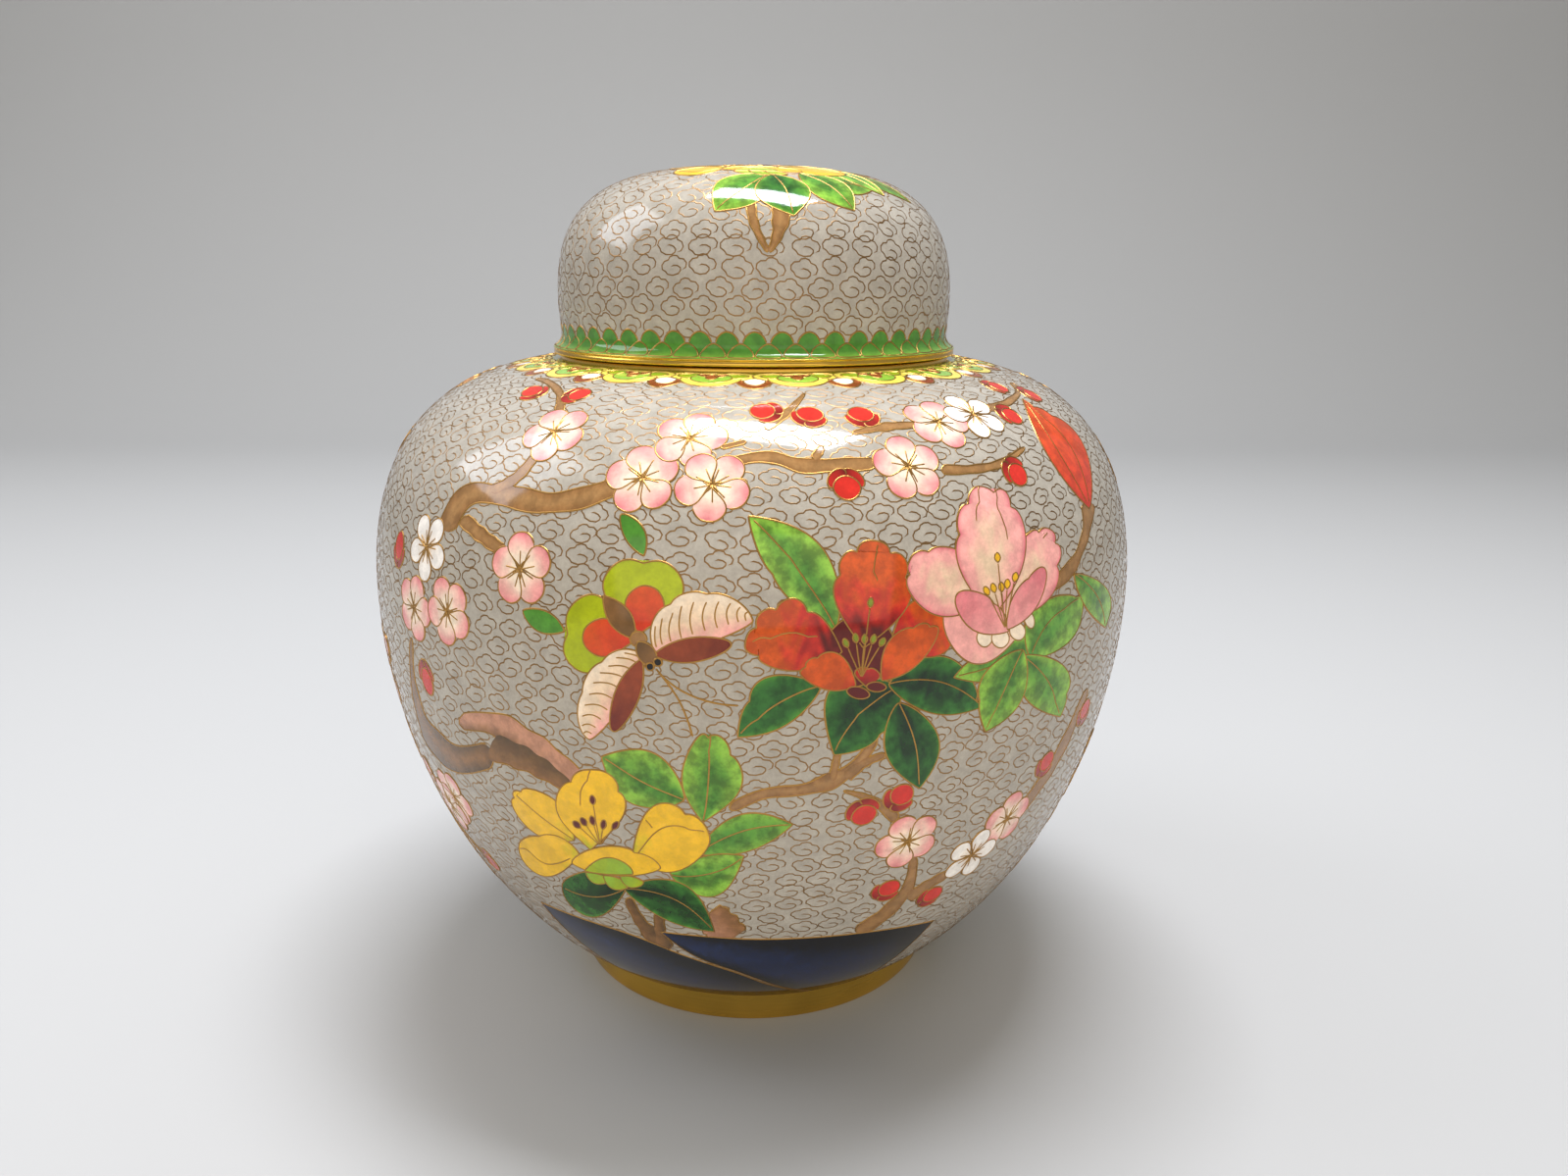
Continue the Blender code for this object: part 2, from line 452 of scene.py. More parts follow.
@dataclass
class Patchwork:
    """Gathers grids of points into one mesh, with a colour at each point and a material for each grid."""

    name: str
    points: list[Array] = field(default_factory=list)
    colours: list[Array] = field(default_factory=list)
    faces: list[Array] = field(default_factory=list)
    slots: list[Array] = field(default_factory=list)
    count: int = 0

    def add_grid(self, points: Array, colour: Array, slot: int = 0, loop_rows: bool = False,
                 loop_columns: bool = False, point_rows: Sequence[int] = ()) -> None:
        """Add one grid, or a stack of like grids.

        Args:
            points: Rows by columns by 3, or grids by rows by columns by 3.
            colour: Linear colour and pooling, one for all or one for each point.
            slot: Which of the mesh's materials it wears.
            loop_rows: Join the last row to the first.
            loop_columns: Join the last column to the first.
            point_rows: Rows that have shrunk to one point.
        """
        stack = points if points.ndim == 4 else points[None]
        grids, rows, columns, _ = stack.shape
        index = np.arange(rows * columns).reshape(rows, columns)
        for row in point_rows:
            index[row] = index[row, 0]
        down = np.vstack([index, index[:1]]) if loop_rows else index
        grid = np.hstack([down, down[:, :1]]) if loop_columns else down
        quads = np.stack([grid[:-1, :-1], grid[1:, :-1], grid[1:, 1:], grid[:-1, 1:]], -1).reshape(-1, 4)
        all_quads = (quads[None] + rows * columns * np.arange(grids)[:, None, None]).reshape(-1, 4)
        self.points.append(stack.reshape(-1, 3))
        self.colours.append(np.broadcast_to(colour, (*stack.shape[:-1], 4)).reshape(-1, 4))
        self.faces.append(all_quads + self.count)
        self.slots.append(np.full(len(all_quads), slot))
        self.count += len(self.points[-1])

    def add_turned(self, outline: Array, columns: int, colour: Array, **settings) -> None:
        """Add an outline turned round Z, with any other settings of add_grid."""
        self.add_grid(turned_grid(outline, columns), colour, loop_columns=True, **settings)

    def build(self, materials: Sequence[Material], smooth: bool = True) -> bpy.types.Object:
        """Make the object.

        Args:
            materials: Its materials, in the order of the slots.
            smooth: Shade it smooth.

        Returns:
            The new object, at the origin.
        """
        points, colours = np.vstack(self.points), np.vstack(self.colours)
        faces, slots = np.vstack(self.faces), np.concatenate(self.slots)
        used, inverse = np.unique(faces, return_inverse=True)
        faces = inverse.reshape(faces.shape)
        first = (faces[:, 0] == faces[:, 3]) | (faces[:, 0] == faces[:, 1])
        second = (faces[:, 1] == faces[:, 2]) | (faces[:, 2] == faces[:, 3])
        shapes = faces.tolist()
        for at in np.flatnonzero(first | second):
            shapes[at] = list(dict.fromkeys(shapes[at]))
        mesh = bpy.data.meshes.new(self.name)
        mesh.from_pydata(points[used], [], shapes)
        glaze = mesh.attributes.new("glaze", "FLOAT_COLOR", "POINT")
        glaze.data.foreach_set("color", colours[used].ravel().astype(np.float32))
        mesh.polygons.foreach_set("material_index", slots.astype(np.int32))
        mesh.polygons.foreach_set("use_smooth", np.full(len(faces), smooth))
        for material in materials:
            mesh.materials.append(material)
        mesh.update()
        piece = bpy.data.objects.new(self.name, mesh)
        bpy.context.scene.collection.objects.link(piece)
        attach(piece, ROOT)
        log.info("%s: %d faces", self.name, len(faces))
        return piece


def turned_grid(outline: Array, columns: int) -> Array:
    """Turn an outline of radii and heights round Z, as rows down the outline by columns round the axis."""
    azimuth = np.linspace(0.0, 2 * np.pi, columns, endpoint=False)
    r, z = outline[:, :1], outline[:, 1:]
    return np.stack([r * np.sin(azimuth), -r * np.cos(azimuth), z + 0 * azimuth], -1)


# Drawing on the skin


def smooth_run(points: Array, step: float) -> Array:
    """Draw a smooth curve through points, with a corner wherever a point is given twice.

    Between corners it is a cubic Hermite curve over the chord lengths, whose slope at a point is the
    mean of the slopes on both sides, each weighed by the other's length.

    Args:
        points: The points to pass through, one row each.
        step: The spacing of the result.

    Returns:
        Points along the curve.
    """
    twice = np.flatnonzero((np.diff(points, axis=0) == 0).all(axis=1))
    runs = np.split(points, twice + 1)
    drawn = []
    for run in runs:
        if len(run) < 2:
            continue
        chord = np.linalg.norm(np.diff(run, axis=0), axis=1)
        slope = np.diff(run, axis=0) / chord[:, None]
        inner = slope[:-1] * chord[1:, None] + slope[1:] * chord[:-1, None]
        inner = inner / (chord[:-1] + chord[1:])[:, None]
        ends = (slope[:1], slope[-1:]) if len(run) == 2 else (1.5 * slope[:1] - 0.5 * inner[:1],
                                                              1.5 * slope[-1:] - 0.5 * inner[-1:])
        tangent = np.vstack([ends[0], inner, ends[1]])
        knots = np.concatenate([[0.0], np.cumsum(chord)])
        at = np.linspace(0.0, knots[-1], max(2, int(np.ceil(knots[-1] / step)) + 1))
        i = np.clip(np.searchsorted(knots, at, side="right") - 1, 0, len(chord) - 1)
        t = ((at - knots[i]) / chord[i])[:, None]
        length = chord[i][:, None]
        drawn.append((2 * t**3 - 3 * t**2 + 1) * run[i] + (t**3 - 2 * t**2 + t) * length * tangent[i]
                     + (3 * t**2 - 2 * t**3) * run[i + 1] + (t**3 - t**2) * length * tangent[i + 1])
    return np.vstack(drawn)


def evenly(points: Array, count: int) -> Array:
    """Respace points along their own polyline."""
    along = np.concatenate([[0.0], np.cumsum(np.linalg.norm(np.diff(points, axis=0), axis=1))])
    at = np.linspace(0.0, along[-1], count)
    return np.column_stack([np.interp(at, along, points[:, 0]), np.interp(at, along, points[:, 1])])


class Enamel(Enum):
    """The enamels on the maker's bench, as they look when fired and polished."""

    GROUND = "#AAA395"
    BLACK = "#15110E"
    NAVY = "#05070F"
    SLATE = "#13244A"
    TURQUOISE = "#3E8FA8"
    LIME = "#A7B30E"
    OLIVE = "#7F8B22"
    LEMON = "#EDDC5A"
    SUN = "#EEBC20"
    AMBER = "#E0A92C"
    ORANGE = "#CF5416"
    SCARLET = "#CC2E22"
    RUSSET = "#8A3D20"
    MAROON = "#5A1512"
    BARK = "#8C6236"
    UMBER = "#5C4424"
    CLAY = "#C08A6C"
    SAND = "#A47C4C"
    IVORY = "#F2DFC4"
    CREAM = "#E8CBA8"
    BLUSH = "#EFA9A0"
    ROSE = "#D9707A"
    SPRING = "#88B83E"
    MOSS = "#4E8A2C"
    FOREST = "#2C6423"
    BOTTLE = "#123014"
    WHITE = "#F4EEE4"


def glazed(enamel: Enamel, pooling: float = 0.0) -> Array:
    """An enamel as a point's glaze: its linear colour and how far it has pooled."""
    return np.append(linear(enamel.value), pooling)


def melted(hues: Sequence[Enamel], amount: Array, pooling: float = 0.0) -> Array:
    """Melt enamels into each other.

    Args:
        hues: The enamels, evenly spaced from amount 0 to amount 1.
        amount: How far along them each point is.
        pooling: How far the glass has pooled into patches.

    Returns:
        A glaze for each point.
    """
    ramp = np.array([glazed(hue, pooling) for hue in hues])
    stops = np.linspace(0.0, 1.0, len(ramp))
    return np.stack([np.interp(amount, stops, ramp[:, k]) for k in range(4)], -1)


class Flow(Enum):
    """How a cell's enamels run into each other."""

    ALONG = "from root to tip"
    ACROSS = "from the left rail to the right"
    MARGIN = "from the middle line out to the edge and the tip"


@dataclass(frozen=True)
class PhotoCanvas:
    """Draws in the photograph's pixels, on whatever of the skin shows there."""

    view: PhotoView
    skin: TurnedSkin
    step: float = 1.6

    def spots(self, drawn: Array) -> Array:
        """The spots of the skin under the drawn points."""
        return self.view.spots(self.skin, drawn)


@dataclass(frozen=True)
class LocalCanvas:
    """Draws in millimetres round one spot of the skin: x goes round the jar and y down its outline.

    The drawing is taken about its origin, turned, then scaled, and each row keeps its true width:
    azimuth = x / radius there.
    """

    skin: TurnedSkin
    centre: Point
    scale: float = 1.0
    turn: float = 0.0
    origin: Point = (0.0, 0.0)
    step: float = 0.6

    def spots(self, drawn: Array) -> Array:
        """The spots of the skin under the drawn points."""
        drawn = drawn - np.array(self.origin)
        c, s = np.cos(self.turn), np.sin(self.turn)
        x = self.scale * MM * (c * drawn[..., 0] - s * drawn[..., 1])
        arc = self.centre[1] + self.scale * MM * (s * drawn[..., 0] + c * drawn[..., 1])
        return np.stack([self.centre[0] + x / np.maximum(self.skin.radius(arc), 2 * MM), arc], -1)

    def at(self, place: Point, turn: float = 0.0) -> "LocalCanvas":
        """A canvas in millimetres round a place of this one, turned further."""
        azimuth, arc = self.spots(np.array(place, float))
        return LocalCanvas(self.skin, (float(azimuth), float(arc)), turn=self.turn + turn)


@dataclass(frozen=True)
class CrownCanvas:
    """Draws on the lid's top as it is seen from above: x to the right, y to the front.

    A point's distance from the middle becomes arc length down the dome, so that nothing stretches there.
    """

    skin: TurnedSkin
    origin: Point = (0.0, 0.0)
    centre_mm: Point = (0.0, 0.0)
    scale: float = 1.0
    step: float = 0.35

    def spots(self, drawn: Array) -> Array:
        """The spots of the skin under the drawn points."""
        x, y = np.moveaxis((drawn - np.array(self.origin)) * self.scale + np.array(self.centre_mm), -1, 0)
        return np.stack([np.arctan2(x, y), np.hypot(x, y) * MM], -1)


@dataclass(frozen=True)
class BandCanvas:
    """Draws round a turned piece: x in degrees of azimuth and y in millimetres of arc length."""

    skin: TurnedSkin
    turn: float = 0.0
    step: float = 0.6

    def spots(self, drawn: Array) -> Array:
        """The spots of the skin under the drawn points."""
        return np.stack([self.turn + np.radians(drawn[..., 0]), drawn[..., 1] * MM], -1)


Canvas = PhotoCanvas | LocalCanvas | CrownCanvas | BandCanvas
Route = Sequence[Point]


@dataclass(frozen=True)
class Blade:
    """One wired cell of enamel in the shape of a petal, leaf, wing or bud.

    Its spine bows sideways, root + u (tip - root) + 4 u (1 - u) bow. Each edge stands off the spine by
    its own width times sin(pi u^skew)^e, where e goes from the root's sharpness to the tip's: about 0.5
    is round and over 1 is pointed. Each notch pulls the edge in towards the middle by an exponential
    cusp. Notches are placed from -1 at the root, up the left edge to 0 at the tip and on to 1.
    """

    root: Point
    tip: Point
    left: float
    right: float
    hues: tuple[Enamel, ...]
    flow: Flow = Flow.ALONG
    bow: float = 0.0
    skew: float = 1.0
    ends: Point = (0.8, 0.5)
    notches: tuple[float, ...] = ()
    depth: float = 0.16
    veins: tuple[Route, ...] = ()
    pooling: float = 0.3

    def rails(self, step: float) -> tuple[Array, Array]:
        """The left and the right edge, from the root to the tip, with as many points each."""
        root, tip = np.array(self.root, float), np.array(self.tip, float)
        length = np.linalg.norm(tip - root)
        way = (tip - root) / length
        leftward = np.array([way[1], -way[0]])
        count = int(np.clip(1.5 * length / step, *RAIL_POINTS))
        s = np.linspace(0.0, 1.0, count)
        u = (1 - np.cos(np.pi * s)) / 2
        spine = root + u[:, None] * (tip - root) + (4 * u * (1 - u) * self.bow)[:, None] * leftward
        swell = np.maximum(np.sin(np.pi * u**self.skew), 0.0)
        swell = swell ** (self.ends[0] + (self.ends[1] - self.ends[0]) * u)
        middle = root + 0.55 * (tip - root) + self.bow * leftward
        edges = []
        for side, width in ((1.0, self.left), (-1.0, self.right)):
            edge = spine + (side * width * swell)[:, None] * leftward
            place = -side * (1 - s)
            pull = sum((np.exp(-np.abs(place - notch) / 0.06) for notch in self.notches), 0 * s)
            edges.append(edge + (self.depth * pull)[:, None] * (middle - edge))
        tips = (edges[0][-1] + edges[1][-1]) / 2
        edges[0][-1] = edges[1][-1] = tips
        return edges[0], edges[1]

    def vein(self, route: Route, step: float) -> Array:
        """A wire inside the blade, given by its share of the way to the tip and across from the left."""
        left, right = self.rails(step)
        path = smooth_run(np.array(route, float), 0.05)
        at = np.clip(path[:, :1], 0.0, 1.0) * (len(left) - 1)
        rows = np.arange(len(left))
        along = [np.column_stack([np.interp(at[:, 0], rows, rail[:, k]) for k in (0, 1)])
                 for rail in (left, right)]
        return along[0] * (1 - path[:, 1:]) + along[1] * path[:, 1:]


MIDRIB = ((0.02, 0.5), (0.5, 0.44), (0.9, 0.5))


@dataclass(frozen=True)
class Leaf(Blade):
    """A leaf: pointed, as a rule with a midrib, and dark and pooled in the middle but light at the edge."""

    flow: Flow = Flow.MARGIN
    ends: Point = (0.7, 0.9)
    veins: tuple[Route, ...] = (MIDRIB,)
    pooling: float = 1.0


@dataclass(frozen=True)
class WireGauge:
    """The flattened wire that fences the cells: its width and how proud it stands of the enamel."""

    width: float = 0.42 * MM
    proud: float = 0.06 * MM


def box_of(points: Array) -> tuple[float, ...]:
    """The least x and y and the greatest x and y of some flat points."""
    return (*points.min(axis=0).tolist(), *points.max(axis=0).tolist())


def within(points: Array, ring: Array) -> Array:
    """Whether each flat point lies inside a ring, by how often a line to its right crosses the ring."""
    inside = np.zeros(len(points), bool)
    near = np.flatnonzero(((points >= ring.min(axis=0)) & (points <= ring.max(axis=0))).all(axis=1))
    if not len(near):
        return inside
    x, y = points[near, :1], points[near, 1:]
    x0, y0 = ring.T
    x1, y1 = np.roll(ring, -1, axis=0).T
    rise = np.where(y1 == y0, 1e-12, y1 - y0)
    crossed = ((y0 > y) != (y1 > y)) & (x < x0 + (y - y0) * (x1 - x0) / rise)
    inside[near] = crossed.sum(axis=1) % 2 == 1
    return inside


@dataclass(frozen=True)
class LaidCell:
    """The flat outline of a cell as it was laid and its box, its level, and whether it merges with others."""

    ring: Array
    box: tuple[float, ...]
    level: int
    merges: bool


@dataclass(frozen=True)
class LaidWire:
    """A wire's path, its level, how many cells had been laid before it, and how it behaves."""

    path: Array
    level: int
    after: int
    closed: bool
    merges: bool


@dataclass
class Decoration:
    """All that is drawn on one skin: cells of enamel in one mesh and their wires in another.

    It is laid in a painter's order. A cell stands one level above every earlier cell that it overlaps, a
    few hundredths of a millimetre, and a wire is cut where a later cell covers it. Cells that merge, such
    as the arms of a branch, have no wire where they meet.
    """

    name: str
    skin: TurnedSkin
    gauge: WireGauge = WireGauge()
    first_lift: float = 0.07 * MM
    level_lift: float = 0.015 * MM
    cells: Patchwork = field(init=False)
    laid: list[LaidCell] = field(default_factory=list)
    wires: list[LaidWire] = field(default_factory=list)

    def __post_init__(self) -> None:
        """Start the mesh of the cells."""
        self.cells = Patchwork(self.name + "_enamels")

    def lift(self, level: int) -> float:
        """How far a level stands off the ground."""
        return self.first_lift + level * self.level_lift

    @staticmethod
    def close_by(flat: Array, cells: Sequence[LaidCell]) -> list[LaidCell]:
        """The cells whose boxes meet the box of some flat points."""
        left, low, right, high = box_of(flat)
        return [cell for cell in cells if left <= cell.box[2] and cell.box[0] <= right
                and low <= cell.box[3] and cell.box[1] <= high]

    def level_over(self, ring: Array) -> int:
        """The first level that is free over all earlier cells that meet this one's flat outline."""
        levels = [cell.level + 1 for cell in self.close_by(ring, self.laid)
                  if within(ring, cell.ring).any() or within(cell.ring, ring).any()]
        return max(levels, default=0)

    def fill(self, canvas: Canvas, blade: Blade) -> None:
        """Lay a blade's enamel and the wires that fence and vein it."""
        left, right = blade.rails(canvas.step)
        level = self.rule(canvas, left, right, blade.hues, blade.flow, blade.pooling)
        for route in blade.veins:
            path = canvas.spots(blade.vein(route, canvas.step))
            self.wires.append(LaidWire(path, level, len(self.laid), False, False))

    def rule(self, canvas: Canvas, left: Array, right: Array, hues: tuple[Enamel, ...],
             flow: Flow = Flow.ALONG, pooling: float = 0.3, merges: bool = False) -> int:
        """Lay one cell between two rails, P(s, v) = v left(s) + (1 - v) right(s), and fence it.

        Args:
            canvas: What the rails are drawn on.
            left: The left rail, from root to tip.
            right: The right rail, with as many points.
            hues: The enamels, which melt into each other in this order.
            flow: The way that they do.
            pooling: How far the glass has pooled into patches.
            merges: Whether it runs into other cells that merge.

        Returns:
            The level that it lies in.
        """
        width = np.linalg.norm(left - right, axis=1).max()
        columns = int(np.clip(width / canvas.step / 2.5, *CELL_COLUMNS)) + 1
        v = np.linspace(0.0, 1.0, columns)
        grid = right[:, None] * (1 - v)[:, None] + left[:, None] * v[:, None]
        path = canvas.spots(np.vstack([left, right[::-1]]))
        ring = self.skin.flat(path)
        level = self.level_over(ring)
        spots = canvas.spots(grid)
        points, _ = self.skin.place(spots, self.lift(level))
        u = np.linspace(0.0, 1.0, len(left))[:, None] + 0 * v
        across = 1 - v + 0 * u
        amount = {Flow.ALONG: u, Flow.ACROSS: across,
                  Flow.MARGIN: 1 - (1 - u**4) * (1 - np.abs(2 * across - 1) ** 2.5)}[flow]
        wander = np.sin(900 * spots[..., 1] + 3 * np.sin(70 * spots[..., 0])) * np.sin(83 * spots[..., 0])
        amount = np.clip(amount + 0.1 * wander, 0.0, 1.0)
        self.cells.add_grid(points, melted(hues, amount, pooling))
        self.laid.append(LaidCell(ring, box_of(ring), level, merges))
        self.wires.append(LaidWire(path, level, len(self.laid), True, merges))
        return level

    def bed(self, canvas: Canvas, left: Route, right: Route, hues: tuple[Enamel, ...]) -> None:
        """Lay one cell between two smooth routes, its first enamel in the middle and its last at the edge; on
        the rocks the lighter middle is a painted sheen.
        """
        rails = [smooth_run(np.array(route, float), canvas.step) for route in (left, right)]
        count = max(map(len, rails))
        self.rule(canvas, evenly(rails[0], count), evenly(rails[1], count), hues, Flow.MARGIN, 0.6)

    def draw(self, canvas: Canvas, route: Route) -> None:
        """Lay a free wire along a smooth route, over whatever is there."""
        path = canvas.spots(smooth_run(np.array(route, float), canvas.step))
        flat = self.skin.flat(path)
        levels = [cell.level for cell in self.close_by(flat, self.laid) if within(flat, cell.ring).any()]
        self.wires.append(LaidWire(path, max(levels, default=0), len(self.laid), False, False))

    def branch(self, canvas: Canvas, route: Route, widths: Sequence[float], hues: tuple[Enamel, ...]) -> None:
        """Lay a branch: its two rails run beside a smooth spine, at half widths given along it."""
        spine = smooth_run(np.array(route, float), canvas.step * 1.6)
        spine = evenly(spine, max(8, len(spine)))
        way = unit(np.gradient(spine, axis=0))
        leftward = np.column_stack([way[:, 1], -way[:, 0]])
        at = np.linspace(0.0, 1.0, len(spine))
        half = np.interp(at, np.linspace(0.0, 1.0, len(widths)), widths)
        half = half * (1 + 0.1 * np.sin(23 * at + len(spine)) * np.sin(np.pi * at))
        half = (half * np.minimum(1.0, np.sin(np.pi * np.clip(at, 0.004, 0.996)) ** 0.5 * 3.0))[:, None]
        self.rule(canvas, spine + half * leftward, spine - half * leftward, hues, Flow.ACROSS, 0.5,
                  merges=True)

    def ring_fill(self, first: float, last: float, hues: tuple[Enamel, ...], lift: float) -> None:
        """Fill a band right round the jar between two arc lengths."""
        azimuth = np.linspace(-np.pi, np.pi, 241)[:-1]
        share = np.linspace(0.0, 1.0, 6)
        spots = np.stack(np.broadcast_arrays(azimuth[None], (first + (last - first) * share)[:, None]), -1)
        points, _ = self.skin.place(spots, lift)
        self.cells.add_grid(points, melted(hues, share)[:, None], loop_columns=True)

    def hides(self, spots: Array) -> Array:
        """Whether each spot lies under one of the cells."""
        flat, covered = self.skin.flat(spots), np.zeros(len(spots), bool)
        for cell in self.laid:
            covered |= within(flat, cell.ring)
        return covered

    def visible_runs(self, wire: LaidWire) -> list[tuple[Array, bool]]:
        """Cut a wire where other cells cover it; each cut end still reaches under the covering wire.

        Args:
            wire: The wire.

        Returns:
            Each run's path, and whether it closes on itself.
        """
        later = self.laid[wire.after:]
        if wire.merges:
            later = later + [cell for cell in self.laid[:wire.after - 1] if cell.merges]
        flat, hidden = self.skin.flat(wire.path), np.zeros(len(wire.path), bool)
        for cell in self.close_by(flat, later):
            hidden |= within(flat, cell.ring)
        if not hidden.any():
            return [(wire.path, wire.closed)]
        path, seen = wire.path, ~hidden
        if wire.closed:
            start = int(hidden.argmax())
            path, seen = np.roll(path, -start, axis=0), np.roll(seen, -start)
        edges = np.flatnonzero(np.diff(np.concatenate([[False], seen, [False]]).astype(int)))
        return [(path[max(a - 1, 0):b + 1], False) for a, b in zip(edges[::2], edges[1::2]) if b - a > 2]

    def lay(self, patchwork: Patchwork, path: Array, level: int, closed: bool) -> None:
        """Carry the wire's section along a path: two feet in the ground and a flat crown between them.

        Args:
            patchwork: The mesh that it goes into.
            path: Spots along it.
            level: The level of the cell that it fences.
            closed: Whether it ends where it starts.
        """
        spacing = np.linalg.norm(np.diff(self.skin.place(path)[0], axis=0), axis=1)
        path = path[np.concatenate([[True], spacing > 0.04 * MM])]
        if len(path) < 3:
            return
        line, normals = self.skin.place(path)
        if closed:
            ahead, behind = np.roll(line, -1, axis=0), np.roll(line, 1, axis=0)
        else:
            ahead, behind = np.vstack([line[1:], line[-1:]]), np.vstack([line[:1], line[:-1]])
        side = unit(np.cross(normals, ahead - behind))
        crown = self.lift(level) + self.gauge.proud
        half = self.gauge.width / 2
        section = np.array([(-half, 0.0), (-half / 2, crown), (half / 2, crown), (half, 0.0)])
        grid = line[:, None] + section[:, :1] * side[:, None] + section[:, 1:] * normals[:, None]
        if not closed:
            grid[0], grid[-1] = line[0], line[-1]
        ends = () if closed else (0, len(line) - 1)
        patchwork.add_grid(grid, np.ones(4), loop_rows=closed, point_rows=ends)

    def build(self, enamel: Material, wire: Material) -> None:
        """Make both meshes."""
        wires = Patchwork(self.name + "_wires")
        for laid in self.wires:
            for path, closed in self.visible_runs(laid):
                self.lay(wires, path, laid.level, closed)
        for patchwork, material, slot in ((self.cells, enamel, "cloisonne_enamel"),
                                          (wires, wire, "gilded_copper")):
            piece = patchwork.build([material])


@dataclass
class CloudGround:
    """The ground's running cloud scrolls, one wire each, in rows that are set like bricks.

    A scroll is four lobes and a hook. Each lobe is a half ellipse between two knots, with along =
    (1 - cos(pi t)) / 2 and out = sin(pi t), in units of half the scroll's width and half its height.
    """

    decoration: Decoration
    name: str
    first_arc: float
    last_arc: float
    pitch: float = 6.8 * MM
    row: float = 4.1 * MM
    half: Point = (3.05 * MM, 1.9 * MM)
    width: float = 0.32 * MM
    proud: float = 0.055 * MM
    jitter: float = 0.12
    sway: float = 0.25
    scales: Point = (0.88, 1.08)
    seed: int = 7
    parts: int = 1
    knots: tuple[Point, ...] = ((0.6, -0.6), (0.45, 0.62), (-0.4, 0.6), (-0.7, -0.52), (0.5, -0.6),
                                (-0.27, -0.15))
    bulges: tuple[float, ...] = (0.48, 0.4, 0.42, 0.44, 0.33)
    lobe_points: int = 5

    def scroll(self) -> Array:
        """One scroll's wire, with y up."""
        knots = np.array(self.knots)
        t = np.linspace(0.0, 1.0, self.lobe_points)
        along, out = ((1 - np.cos(np.pi * t)) / 2)[:, None], np.sin(np.pi * t)[:, None]
        lobes = []
        for start, stop, bulge in zip(knots[:-1], knots[1:], self.bulges):
            way = stop - start
            lobes.append((start + along * way + out * bulge * np.array([way[1], -way[0]])
                          / np.linalg.norm(way))[0 if not lobes else 1:])
        return np.vstack(lobes)

    def centres(self) -> tuple[Array, Array]:
        """Every scroll's centre spot, with its own turn and size."""
        draw = np.random.default_rng(self.seed)
        skin = self.decoration.skin
        rows = []
        for k, arc in enumerate(np.arange(self.first_arc, self.last_arc, self.row)):
            count = max(6, round(2 * np.pi * float(skin.radius(arc)) / self.pitch))
            azimuth = 2 * np.pi * (np.arange(count) + 0.5 * (k % 2)) / count - np.pi
            rows.append(np.column_stack([azimuth, np.full(count, arc)]))
        centres = np.vstack(rows)
        shift = draw.uniform(-self.jitter, self.jitter, centres.shape) * self.row
        shift[:, 0] /= skin.radius(centres[:, 1])
        style = np.column_stack([draw.uniform(-self.sway, self.sway, len(centres)),
                                 draw.uniform(*self.scales, len(centres))])
        return centres + shift, style

    def build(self, wire: Material) -> None:
        """Lay every scroll that isn't wholly under the picture, as a low ridge of two faces a step."""
        skin = self.decoration.skin
        centres, style = self.centres()
        shape = self.scroll() * np.array(self.half)
        c, s = np.cos(style[:, :1]) * style[:, 1:], np.sin(style[:, :1]) * style[:, 1:]
        x, y = c * shape[:, 0] - s * shape[:, 1], s * shape[:, 0] + c * shape[:, 1]
        arc = np.clip(centres[:, 1:] - y, skin.arc[0], skin.arc[-1])
        paths = np.stack([centres[:, :1] + x / skin.radius(arc), arc], -1)
        hidden = self.decoration.hides(paths.reshape(-1, 2)).reshape(paths.shape[:2]).all(axis=1)
        paths, centres = paths[~hidden], centres[~hidden]
        line, normals = skin.place(paths, 0.0)
        ahead = np.concatenate([line[:, 1:], line[:, -1:]], axis=1)
        behind = np.concatenate([line[:, :1], line[:, :-1]], axis=1)
        side = unit(np.cross(normals, ahead - behind))
        section = np.array([(-self.width / 2, 0.0), (0.0, self.proud), (self.width / 2, 0.0)])
        grid = line[:, :, None] + section[:, :1] * side[:, :, None] + section[:, 1:] * normals[:, :, None]
        grid[:, 0], grid[:, -1] = line[:, :1], line[:, -1:]
        sector = np.floor((centres[:, 0] + np.pi) / (2 * np.pi) * self.parts).astype(int) % self.parts
        for k in range(self.parts):
            scrolls = Patchwork(f"{self.name}_{k + 1}")
            scrolls.add_grid(grid[sector == k], np.ones(4), point_rows=(0, line.shape[1] - 1))
            scrolls.build([wire])


# The picture's figures

E = Enamel
PINK_PETAL = (E.IVORY, E.IVORY, E.BLUSH, E.ROSE)
WHITE_PETAL = (E.CREAM, E.WHITE, E.WHITE)
FLAME = (E.MAROON, E.MAROON, E.SCARLET, E.ORANGE, E.ORANGE, E.ORANGE)
GOLDEN = (E.LIME, E.SUN, E.SUN, E.SUN)
MAGNOLIA = (E.CREAM, E.BLUSH, E.BLUSH, E.ROSE)
LIGHT_LEAF = (E.MOSS, E.SPRING, E.SPRING)
MID_LEAF = (E.FOREST, E.MOSS, E.SPRING)
DARK_LEAF = (E.BOTTLE, E.FOREST, E.FOREST, E.MOSS)
BRANCH = (E.BARK, E.SAND, E.BARK)
# Lighter blue in each rock's middle and navy at its edges: a painted sheen.
STONE_WITH_PAINTED_SHEEN = (E.SLATE, E.NAVY, E.NAVY)
LIME_WING = (E.OLIVE, E.LIME, E.LIME)
PALE_WING = (E.IVORY, E.CREAM, E.BLUSH)


